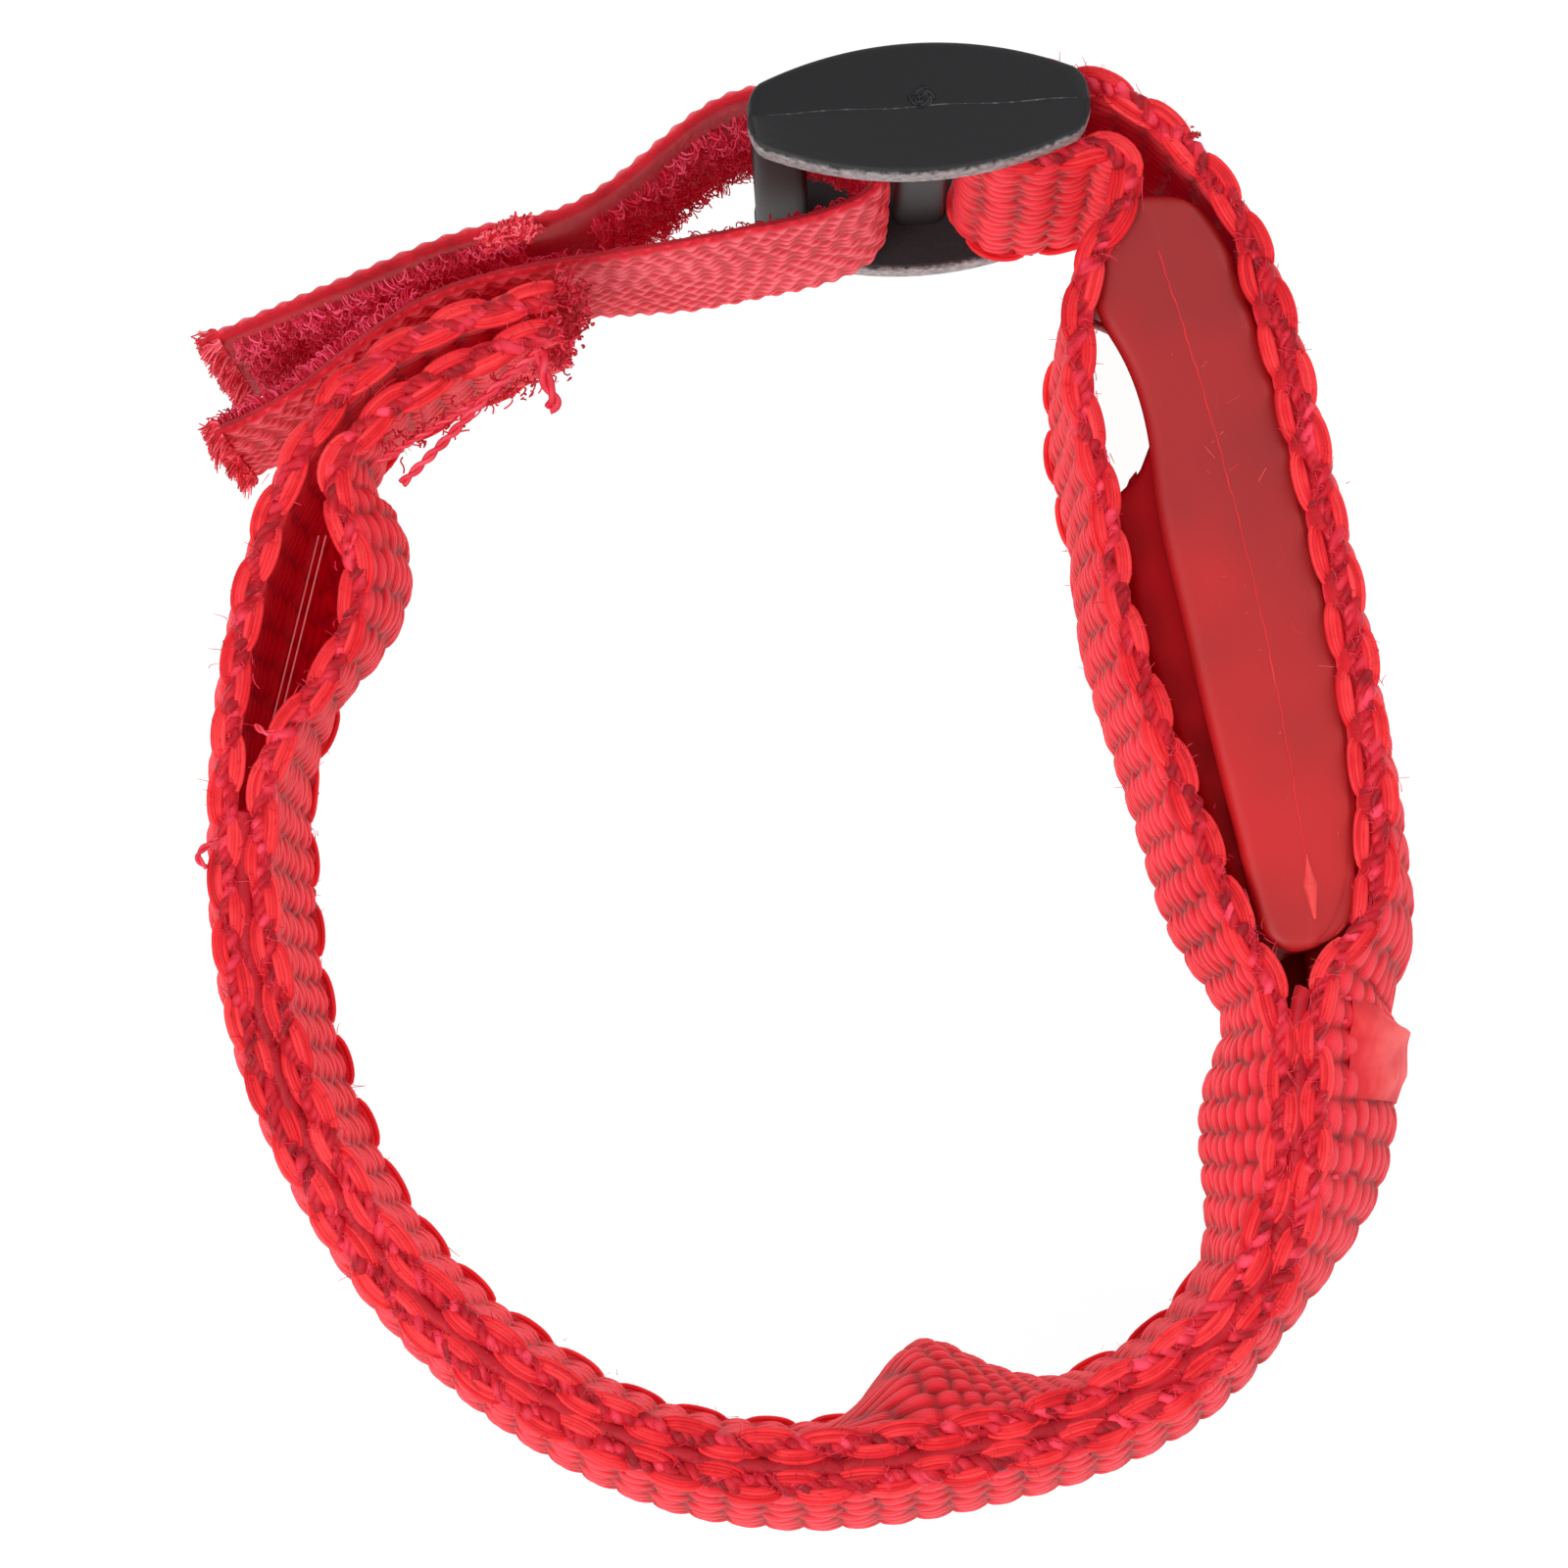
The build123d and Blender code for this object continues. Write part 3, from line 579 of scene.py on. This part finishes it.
fray("strap_end_fray", whole, True, TAPE_Z, 0.45, 1700, 1.5, tape_mat, "tail", "tape")
fray("strap_base_fray", whole, False, TAPE_Z, 0.6, 2200, 1.2, tape_mat, "band", "tape",
     lean_far=TAPE_END_LEAN)
fray("webbing_end_fray_outer", path, False, WEB_Z, 0.6, 900, 0.9, core_mat, "band", "webbing",
     lean_far=-OUTER_END_LEAN)
fray("webbing_end_fray_inner", path, True, WEB_Z, 0.6, 1100, 1.0, core_mat, "band", "webbing", True,
     lean_far=-INNER_END_LEAN)

tufts = Bag()
for k in range(9):
    tuft(tufts, (-17.6 + 0.28 * k, 31.7 + 0.1 * k + rng.normal(0, 0.12), 25.3), (0.25, 0.2, 0.3),
         90, 0.24, 0.07)
tufts.make("strap_edge_tufts", tape_mat, body="tail", slot="tape")
tufts = Bag()
for k in range(16):                        # fused and fuzzy ends of the two plies, sewn together
    tuft(tufts, (-13.6 + rng.normal(0, 0.5), 27.0 + rng.normal(0, 0.8), rng.uniform(20, 27.6)),
         (0.4, 0.4, 0.5), 60, 0.26, 0.07)
for k in range(12):
    tuft(tufts, (-14.3 - 0.9 * k, 24.2 - 0.42 * k, 24.5 + rng.normal(0, 1.0)), (0.5, 0.35, 0.8),
         12, 0.35, 0.05)
tuft(tufts, (22.0, 36.9, 27.9), (0.6, 0.3, 0.3), 60, 0.18, 0.06)
tufts.make("webbing_tufts", core_mat, slot="webbing")
threads = Bag()
loose(threads, [(-14.6, 24.9, 27.2), (-17.0, 22.9, 27.4), (-19.6, 20.3, 26.6), (-22.6, 17.4, 26.0)], 0.3)
loose(threads, [(-14.9, 25.2, 27.0), (-14.5, 23.9, 27.3), (-14.2, 22.8, 26.9), (-13.9, 21.9, 26.6),
                (-14.3, 21.6, 26.4)], 0.42)
loose(threads, [(-15.2, 24.6, 27.0), (-17.6, 22.6, 26.6), (-20.4, 20.8, 26.2), (-24.0, 18.6, 26.0)], 0.2)
loose(threads, [(-32.5, -3.0, 27.8), (-33.3, -3.5, 28.2), (-33.7, -4.1, 28.4), (-33.2, -4.7, 28.2)], 0.22)
loose(threads, [(-30.6, 3.4, 27.9), (-29.9, 2.9, 28.2), (-29.2, 3.2, 27.9)], 0.2)
threads.make("loose_threads", thread_mat, slot="thread")
# Two thin bright lines beside the clear strip are painted glints, not part of it: they stand in for light
# caught along its edges, and they glow.
painted_glints = Bag()
t = np.linspace(0, 1, 40)
for beside in (0.0, 0.42):
    line = np.stack([-28.0 - 3.0 * t + beside, 15.4 - 12.6 * t, 19.2 + 0 * t], -1)
    painted_glints.tubes(line[None], 0.05, 6, 0.9)

# ---- Materials of the CAD pieces -----------------------------------------------------------
def plastic(name, colour, rough, **sockets):
    mat, tree, shader = new_material(name, Roughness=rough, Base_Color=colour, **sockets)
    place_ = node(tree, "ShaderNodeTexCoord")
    grain = node(tree, "ShaderNodeTexNoise", [("Vector", place_.outputs["Object"])], Scale=1500.0, Detail=4.0)
    bump = node(tree, "ShaderNodeBump", [("Height", grain.outputs["Fac"])], Strength=0.2, Distance=0.00005)
    tree.links.new(bump.outputs["Normal"], shader.inputs["Normal"])
    return mat


def frosted(name, dark, mid, light, recess_shade, gloss=0.4):
    """Frosted red plastic with cloudy patches; painted light makes it brighter toward the foot, and painted
    shade makes it dark where recessed, below the top face.
    """
    mat, tree, shader = new_material(name, Roughness=0.46, Specular_IOR_Level=gloss, Subsurface_Weight=0.35,
                                     Subsurface_Scale=0.003, Subsurface_Radius=(1.0, 0.1, 0.08))
    spot = node(tree, "ShaderNodeTexCoord")
    axes = node(tree, "ShaderNodeSeparateXYZ", [("Vector", spot.outputs["Object"])])
    cloud = node(tree, "ShaderNodeTexNoise", [("Vector", spot.outputs["Object"])], Scale=95.0, Detail=2.0)
    # Painted light: the plastic is made brighter toward low y, the foot, where the light falls on it.
    painted_light_by_y = node(tree, "ShaderNodeMapRange", [("Value", axes.outputs["Y"])])
    for key, value in (("From Min", 0.034), ("From Max", -0.01), ("To Min", -0.3), ("To Max", 0.25)):
        painted_light_by_y.inputs[key].default_value = value
    level = node(tree, "ShaderNodeMath", [(0, cloud.outputs["Fac"]), (1, painted_light_by_y.outputs["Result"])],
                 operation="ADD")
    colour = ramp(tree, level.outputs["Value"], [(0.25, dark), (0.5, mid), (0.8, light)])
    # Painted shade: below the top face, in the recesses, the colour turns to the darker recess colour.
    high = node(tree, "ShaderNodeMapRange", [("Value", axes.outputs["Z"])])
    for key, value in (("From Min", 0.0262), ("From Max", 0.0272)):
        high.inputs[key].default_value = value
    mixed = node(tree, "ShaderNodeMix", data_type="RGBA")
    mixed.inputs[6].default_value = recess_shade
    tree.links.new(high.outputs["Result"], mixed.inputs["Factor"])
    tree.links.new(colour, mixed.inputs[7])
    tree.links.new(mixed.outputs[2], shader.inputs["Base Color"])
    grain = node(tree, "ShaderNodeTexNoise", [("Vector", spot.outputs["Object"])], Scale=1500.0, Detail=4.0)
    round_ = node(tree, "ShaderNodeBevel", Radius=0.0007, samples=6)
    bump = node(tree, "ShaderNodeBump",
                [("Height", grain.outputs["Fac"]), ("Normal", round_.outputs["Normal"])],
                Strength=0.25, Distance=0.00006)
    tree.links.new(bump.outputs["Normal"], shader.inputs["Normal"])
    return mat


case_mat = frosted("frosted red", srgb(154, 28, 30), srgb(172, 28, 30), srgb(196, 28, 32), srgb(160, 10, 20))
# A darker copy of the frosted red for the battery door, the wrist side and the bay: painted shade for parts
# that sit back in the case.
shaded_bay_mat = frosted("frosted red, painted recess shade", srgb(156, 8, 18), srgb(166, 12, 22), srgb(176, 14, 24),
                  srgb(160, 8, 18), gloss=0.08)
black, tree, shader = new_material("black plastic", Roughness=0.5, Specular_IOR_Level=0.22)
# The rails' rims on the -y side are painted light grey: painted light where those faces catch the light; the
# grain only varies the grey.
side = node(tree, "ShaderNodeAttribute", attribute_name="painted_light_and_tone")
spot = node(tree, "ShaderNodeTexCoord")
grain = node(tree, "ShaderNodeTexNoise", [("Vector", spot.outputs["Object"])], Scale=2600.0, Detail=4.0)
level = node(tree, "ShaderNodeMath", [(0, side.outputs["Fac"]), (1, grain.outputs["Fac"])],
             operation="MULTIPLY_ADD")
level.inputs[1].default_value = 0.0
tree.links.new(grain.outputs["Fac"], level.inputs[1])
level.inputs[2].default_value = 0.0
tree.links.new(ramp(tree, level.outputs["Value"], [(0.0, srgb(30, 30, 32)), (0.22, srgb(52, 52, 54)),
                                                   (0.62, srgb(176, 176, 176))]), shader.inputs["Base Color"])
bump = node(tree, "ShaderNodeBump", [("Height", grain.outputs["Fac"])], Strength=0.35, Distance=0.00006)
tree.links.new(bump.outputs["Normal"], shader.inputs["Normal"])
clear = plastic("clear strip", srgb(235, 60, 70), 0.2, Alpha=0.12)
# Painted highlight: a glowing pale pink for the glints along the clear strip.
glint = plastic("clear strip painted glint", srgb(255, 176, 176), 0.2, Emission_Color=(1.0, 0.35, 0.35, 1),
                Emission_Strength=0.12)
metal = plastic("bright metal", srgb(190, 190, 188), 0.3, Metallic=1.0)
board = plastic("green board", srgb(20, 90, 50), 0.4)
chip = plastic("epoxy", srgb(25, 25, 25), 0.4)


def paint(mat, *nodes):
    for name in nodes:
        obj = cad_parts[name]
        if not obj.material_slots:
            obj.data.materials.append(mat)
        for mat_slot in obj.material_slots:
            mat_slot.material = mat


paint(case_mat, "case_outer_shell", "button_cap")
paint(shaded_bay_mat, "battery_door")
paint(clear, "light_guide")
paint(metal, "coin_cells", "contact_positive", "contact_negative", "door_screws")
paint(board, "circuit_board")
paint(chip, "controller_chip", "switch_body", "switch_plunger")
paint(case_mat, "leds")
painted_glints.make("light_guide_painted_glints", glint, slot="clear")
box = Bag()
for ahead in (1.6, 9.0):
    w = np.linspace(0.12, 0.88, 12)[:, None] + 0.024 * np.linspace(-1, 1, 7)
    bow = 1 - np.linspace(-1, 1, 7) ** 2
    box.tubes(place(path, np.full_like(w, path.length - ahead), w, 0.62 + 0.3 * bow, WEB_Z), 0.16, 6, 0.5)
box.make("strap_box_stitches", thread_mat, slot="thread", nodes=["strap_box_stitch"])

CASE_PARTING = [(18.15, 37.0), (25.7, 11.6), (29.91, -26.0)]
CASE_TOP_Z = 27.32


def parting_x(y):
    """Where the case's mould parting crosses its near side."""
    (x0, y0), (x1, y1), (x2, y2) = CASE_PARTING
    return (x0 * (y - y1) * (y - y2) / ((y0 - y1) * (y0 - y2))
            + x1 * (y - y0) * (y - y2) / ((y1 - y0) * (y1 - y2))
            + x2 * (y - y0) * (y - y1) / ((y2 - y0) * (y2 - y1)))


def opened(y):
    """How far the case's wrist side draws back, away from its near side, beside the open gap."""
    t = np.clip(np.minimum(y - 15.8, 31.0 - y) / 2.2, 0, 1)
    return t * t * (3 - 2 * t)


def cover(name, wrist, outer, z_low, z_top, rim, mat, back=0.0, lean=0.0):
    """A side of the case, with a rounded rim, between two boundary lines."""
    ends = [max(wrist[-1][1], outer[-1][1]), min(wrist[0][1], outer[0][1])]
    y = ends[0] + (ends[1] - ends[0]) * (1 - np.cos(np.linspace(0, np.pi, 161))) / 2
    lines = []
    for rows in (wrist, outer):
        run = Line(rows)
        order = np.argsort(run.p[:, 1])
        lines.append(np.interp(y, run.p[order, 1], run.p[order, 0]))
    lines[0] = np.minimum(lines[0] + back * opened(y), lines[1] - 0.01)
    u = np.sin(np.linspace(-np.pi / 2, np.pi / 2, 61)) * 0.5 + 0.5
    x = lines[0][:, None] * (1 - u) + lines[1][:, None] * u
    wide = (lines[1] - lines[0])[:, None]
    d = np.minimum(np.minimum(u, 1 - u) * wide, np.minimum(y - ends[0], ends[1] - y)[:, None])
    round_ = rim * (1 - np.sqrt(1 - np.clip(1 - d / rim, 0, 1) ** 2))
    up = np.sign(z_top - z_low)
    seam = 0.05 * np.exp(-((x - parting_x(y)[:, None]) / 0.22) ** 2)
    z = z_top - up * (round_ - seam)
    low = np.full((len(y), 1), z_low)
    x = np.concatenate([x[:, :1], x, x[:, -1:]], 1)
    z = np.concatenate([low, z, low], 1)
    verts = np.stack([x, np.broadcast_to(y[:, None], x.shape), z], -1)
    verts[:, 0, 0] += np.minimum(lean * opened(y), np.ptp(x, 1) * 0.8)
    floor_ = verts.copy()
    floor_[..., 2] = z_low
    verts = np.concatenate([floor_[:1], verts, floor_[-1:]], 0)
    return piece(name, verts, grid_faces(len(verts), verts.shape[1], True), mat, slot="case")


CASE_WRIST = [(20.0, 33.8), (18.4, 33.2), (17.4, 31.6), (17.0, 29.2), (17.0, 27.2), (18.1, 25.0),
              (19.2, 22.5), (19.9, 19.4), (20.2, 16.8), (21.6, 10.0), (23.1, 3.3), (24.6, -2.8),
              (25.8, -7.4), (26.5, -8.8), (27.8, -9.4)]
CASE_OUTSIDE = [(20.0, 33.8), (22.3, 33.4), (23.9, 31.8), (25.0, 29.2), (26.1, 26.0), (27.8, 20.0),
                (29.8, 11.0), (30.8, 5.5), (31.4, 0.0), (31.4, -4.6), (30.7, -7.4), (29.5, -8.9),
                (27.8, -9.4)]
BAY_WRIST = [(20.0, 19.6), (19.5, 18.3), (18.6, 17.2), (17.9, 16.4), (18.3, 14.0), (19.0, 10.5),
             (20.2, 6.3), (21.7, 2.0), (23.4, -2.6), (24.7, -5.8), (25.6, -7.2)]
BAY_OUTSIDE = [(20.0, 19.6), (21.4, 16.8), (22.2, 12.0), (23.6, 6.0), (24.8, 1.0), (25.8, -4.0), (25.6, -7.2)]
CASE_MIDDLE = [(20.0, 33.8), (20.6, 29.0), (22.4, 22.0), (24.0, 16.0), (26.0, 8.0), (27.6, 0.0), (28.4, -5.0),
               (27.8, -9.4)]
near_side = cover("case_near_side", CASE_WRIST, CASE_OUTSIDE, 24.2, CASE_TOP_Z, 0.7, case_mat, lean=0.5)
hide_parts("case_inner_shell")
cover("case_wrist_side", CASE_WRIST, CASE_MIDDLE, 6.8, 24.3, 0.1, shaded_bay_mat, back=0.9, lean=2.8)
cover("case_far_side", CASE_WRIST, CASE_OUTSIDE, 6.8, 31.0 - CASE_TOP_Z, 0.7, case_mat, back=3.6)
cover("battery_bay_near_side", BAY_WRIST, BAY_OUTSIDE, 15.4, 25.9, 0.5, shaded_bay_mat)
cover("battery_bay_far_side", BAY_WRIST, BAY_OUTSIDE, 15.6, 5.1, 0.5, shaded_bay_mat)

ridge = Bag()
y = np.linspace(30.5, -5.0, 240)
wobble = 0.03 * np.sin(y * 1.7) + 0.02 * np.sin(y * 5.1)
ridge.tubes(np.stack([parting_x(y) + wobble, y, 0 * y + CASE_TOP_Z + 0.03], -1)[None],
            0.05 + 0.012 * np.sin(y * 3), 6, 0.45)
y = np.linspace(-3.9, -7.6, 40)
t = np.linspace(0, 1, 40)
drop = 0.06 + 0.42 * np.where(t < 0.45, (t / 0.45) ** 1.6, np.clip((1 - t) / 0.55, 0, 1) ** 0.8)
ridge.tubes(np.stack([parting_x(y) + 0.1, y, CASE_TOP_Z - 0.75 * drop + 0.12], -1)[None], drop, 12, 0.72)
for k in range(34):                        # scratches and specks
    y0 = rng.uniform(-8.0, 26.0)
    x0 = parting_x(y0) + rng.normal(0, 1.5)
    turn, reach = rng.uniform(0, np.pi), rng.choice((0.06, 0.06, 0.12, 0.45))
    t = np.linspace(-1, 1, 7)
    bend = rng.normal(0, 0.25) * reach
    line = np.stack([x0 + reach * np.cos(turn) * t + bend * t ** 2, y0 + reach * np.sin(turn) * t,
                     0 * t + CASE_TOP_Z], -1)
    ridge.tubes(line[None], rng.uniform(0.012, 0.028), 5, rng.uniform(0.3, 1.0))
ridge_mat = yarn("case marks", srgb(164, 28, 30), srgb(206, 44, 46), srgb(232, 92, 88))
ridge.make("case_mould_marks", ridge_mat, slot="case")

for tag, w_edge, inset in (("upper", 1.0, 0.06), ("lower", 0.0, -0.06)):
    stitches = Bag()
    s = np.linspace(*S_SEAM, 60)[:, None] + 0.5 * np.linspace(-1, 1, 7)
    t = np.linspace(-1, 1, 7)
    paths = place(path, s, np.full_like(s, w_edge - inset), -0.93 + 1.6 * t, WEB_Z)
    stitches.tubes(paths, 0.17, 6, 0.5)
    stitches.make(f"catch_stitches_{tag}", thread_mat, slot="thread", nodes=[f"edge_seam_{tag}"])

# ---- The slide buckle -----------------------------------------------------------------------
BUCKLE_AT, BUCKLE_TURN = np.array((6.8, 38.05)), math.radians(3.0)
RAIL_HALF, RAIL_THICK, BUCKLE_WIDTH = 9.7, 2.7, 31.0
RAIL_HIGH, RAIL_ARC = 3.8, 2.2       # half its height in the middle, and how much less that is at the ends
RAIL_ROUND, RAIL_SLOPE = 0.4, 0.3
BAR_POINTS, BAR_RINGS = 32, 24


def buckle_xy(x, y):
    c, n = math.cos(BUCKLE_TURN), math.sin(BUCKLE_TURN)
    return BUCKLE_AT[0] + x * c - y * n, BUCKLE_AT[1] + x * n + y * c


def lens(x):
    """Half the rail's height at x along it, an arc."""
    radius = (RAIL_HALF ** 2 + RAIL_ARC ** 2) / (2 * RAIL_ARC)
    return np.sqrt(radius ** 2 - x ** 2) - (radius - RAIL_HIGH)


def rail(name, z_in, z_out):
    """A lens-shaped rail whose outer face slopes a little from the parting line to its edges."""
    edge = 0.45
    turns = np.linspace(0, np.pi / 2, 6)
    x = np.concatenate([-RAIL_HALF + edge * (1 - np.sin(turns)), np.linspace(-9.1, 9.1, 90),
                        RAIL_HALF - edge * (1 - np.sin(turns))])
    x = np.sort(x)
    from_end = np.clip((RAIL_HALF - np.abs(x)) / edge, 0, 1)
    shrink = edge * (1 - np.sqrt(1 - (1 - from_end) ** 2))
    corner = 0.8 * np.clip(1 - (RAIL_HALF - np.abs(x)) / 0.9, 0, 1) ** 2
    half = lens(np.clip(x, -9.69, 9.69)) - corner - shrink * 0.6
    ring_y, ring_z, side = [], [], []
    share = np.linspace(-1, 1, 25)
    sgn = np.sign(z_out - z_in)
    r = RAIL_ROUND
    for v in share:                        # the outer face, from one edge to the other
        y = v * (half - r)
        ring_y.append(y)
        ring_z.append(z_out - sgn * (shrink + RAIL_SLOPE * abs(v)))
        side.append(0.0)
    for a in np.linspace(np.pi / 2, 0, 5)[1:]:
        ring_y.append(half - r + r * np.cos(a))
        ring_z.append(z_out - sgn * (shrink + RAIL_SLOPE + r * (1 - np.sin(a))))
        side.append(0.1)
    for a in np.linspace(0, -np.pi / 2, 5):
        ring_y.append(half - r + r * np.cos(a))
        ring_z.append(z_in + sgn * (shrink + r * (1 + np.sin(a))))
        side.append(0.1)
    # The rim on the -y side gets the higher values: painted light, a lighter grey on the faces that catch it.
    for a in np.linspace(-np.pi / 2, -np.pi, 5):
        ring_y.append(-(half - r) + r * np.cos(a))
        ring_z.append(z_in + sgn * (shrink + r * (1 + np.sin(a))))
        side.append(0.1 + 0.9 * np.abs(np.cos(a)))
    for a in np.linspace(np.pi, np.pi / 2, 5)[:-1]:
        ring_y.append(-(half - r) + r * np.cos(a))
        ring_z.append(z_out - sgn * (shrink + RAIL_SLOPE + r * (1 - np.sin(a))))
        side.append(0.1 + 0.9 * np.abs(np.cos(a)) ** 2)
    y, z = np.array(ring_y).T, np.array(ring_z).T
    xs = np.broadcast_to(x[:, None], y.shape)
    bx, by = buckle_xy(xs, y)
    verts = np.stack([bx, by, z], -1)
    middle = verts.copy()
    bx, by = buckle_xy(xs, y * 0)
    middle[..., 0], middle[..., 1] = bx, by
    middle[..., 2] = (z_in + z_out) / 2 + (z - (z_in + z_out) / 2) * 0.9
    verts = closed_ends(verts, middle, True, True)
    side = np.broadcast_to(np.array(side), verts.shape[:2])
    return piece(name, verts, grid_faces(len(verts), verts.shape[1], True), black, body="buckle",
                 slot="buckle", attrs={"painted_light_and_tone": side})


near_rail = rail("buckle_rail_near", BUCKLE_WIDTH - RAIL_THICK, BUCKLE_WIDTH)
rail("buckle_rail_far", RAIL_THICK, 0.0)
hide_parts("slide_buckle")
for k, at in enumerate((-8.0, 0.4, 7.9)):
    turn = np.linspace(0, 2 * np.pi, BAR_POINTS + 1)[:-1]
    wide, thick, low = ((1.6, 1.0, 0.0), (1.6, 1.0, 0.0), (1.35, 0.8, -0.2))[k]
    bx = at + wide * np.sign(np.cos(turn)) * np.abs(np.cos(turn)) ** 0.55
    by = low + thick * np.sign(np.sin(turn)) * np.abs(np.sin(turn)) ** 0.6
    px, py = buckle_xy(bx, by)
    z = np.linspace(1.2, 29.8, BAR_RINGS)
    verts = np.stack(np.broadcast_arrays(px, py, z[:, None]), -1)
    piece(f"buckle_bar_{k + 1}", verts, grid_faces(BAR_RINGS, BAR_POINTS, True), black, body="buckle",
          slot="buckle", attrs={"painted_light_and_tone": np.full((BAR_RINGS, BAR_POINTS), 0.1)})

marks = Bag()
x = np.linspace(-8.6, 8.9, 120)
px, py = buckle_xy(x, 0.05 * np.sin(x))
lift = BUCKLE_WIDTH - 0.01 + 0.01 * np.sin(x * 7)
marks.tubes(np.stack([px, py, lift], -1)[None], 0.045, 6, 0.45)
px, py = buckle_xy(x, 0.0 * x)
marks.tubes(np.stack([px, py, 0.02 + 0 * x], -1)[None], 0.045, 6, 0.45)
for k in range(26):                        # the torn gate in the middle of the near rail
    a, r0 = rng.uniform(0, 2 * np.pi), rng.uniform(0.1, 0.75)
    t = np.linspace(0, 1, 6)
    gx = 0.2 + r0 * np.cos(a + t * 1.3) * (1 - 0.3 * t)
    gy = 0.5 + r0 * 0.9 * np.sin(a + t * 1.3) * (1 - 0.3 * t)
    px, py = buckle_xy(gx, gy)
    z = BUCKLE_WIDTH - 0.3 * np.abs(gy) / 3.5 + rng.uniform(-0.04, 0.04) + 0.0 * t
    marks.tubes(np.stack([px, py, z], -1)[None], rng.uniform(0.05, 0.13), 5, rng.uniform(0, 0.35))
marks.make("buckle_mould_marks", black, body="buckle", slot="buckle")

# ---- Floor, light, camera -------------------------------------------------------------------
floor_mat = new_material("floor", Base_Color=(0.12, 0.12, 0.12, 1), Roughness=0.8, Specular_IOR_Level=0.0,
                         Emission_Color=(1, 1, 1, 1), Emission_Strength=0.97)[0]
floor = piece("floor", [(-700, -700, 0), (700, -700, 0), (700, 700, 0), (-700, 700, 0)], [(0, 1, 2, 3)],
              floor_mat, body=None)

world = bpy.data.worlds.new("studio")
bpy.context.scene.world = world
world.use_nodes = True
world.node_tree.nodes["Background"].inputs["Color"].default_value = (1, 1, 1, 1)
world.node_tree.nodes["Background"].inputs["Strength"].default_value = 0.6


def softbox(name, at, size, power):
    data = bpy.data.lights.new(name, "AREA")
    data.energy, data.shape, data.size, data.size_y = power, "RECTANGLE", size[0], size[1]
    obj = bpy.data.objects.new(name, data)
    obj.location = at
    obj.rotation_mode = "QUATERNION"
    obj.rotation_quaternion = (-Vector(at)).to_track_quat("-Z", "Y")
    bpy.context.scene.collection.objects.link(obj)


softbox("key", (-0.2, -0.25, 0.45), (0.22, 0.22), 1.75)
softbox("fill", (0.3, 0.25, 0.4), (0.3, 0.3), 0.7)

view = bpy.context.scene.view_settings
view.view_transform = "Standard"

camera_data = bpy.data.cameras.new("camera")
camera_data.lens = 118.6
camera = bpy.data.objects.new("camera", camera_data)
bpy.context.scene.collection.objects.link(camera)
camera.location = (0.0015, -0.0271, 0.317)
aim = Vector((-0.00127, 0.0004, 0.028))
forward = (aim - camera.location).normalized()
right = forward.cross(Vector((0, 1, 0))).normalized()
camera.rotation_mode = "QUATERNION"
camera.rotation_quaternion = Matrix((right, right.cross(forward), -forward)).transposed().to_quaternion()
bpy.context.scene.camera = camera

bpy.context.view_layer.update()
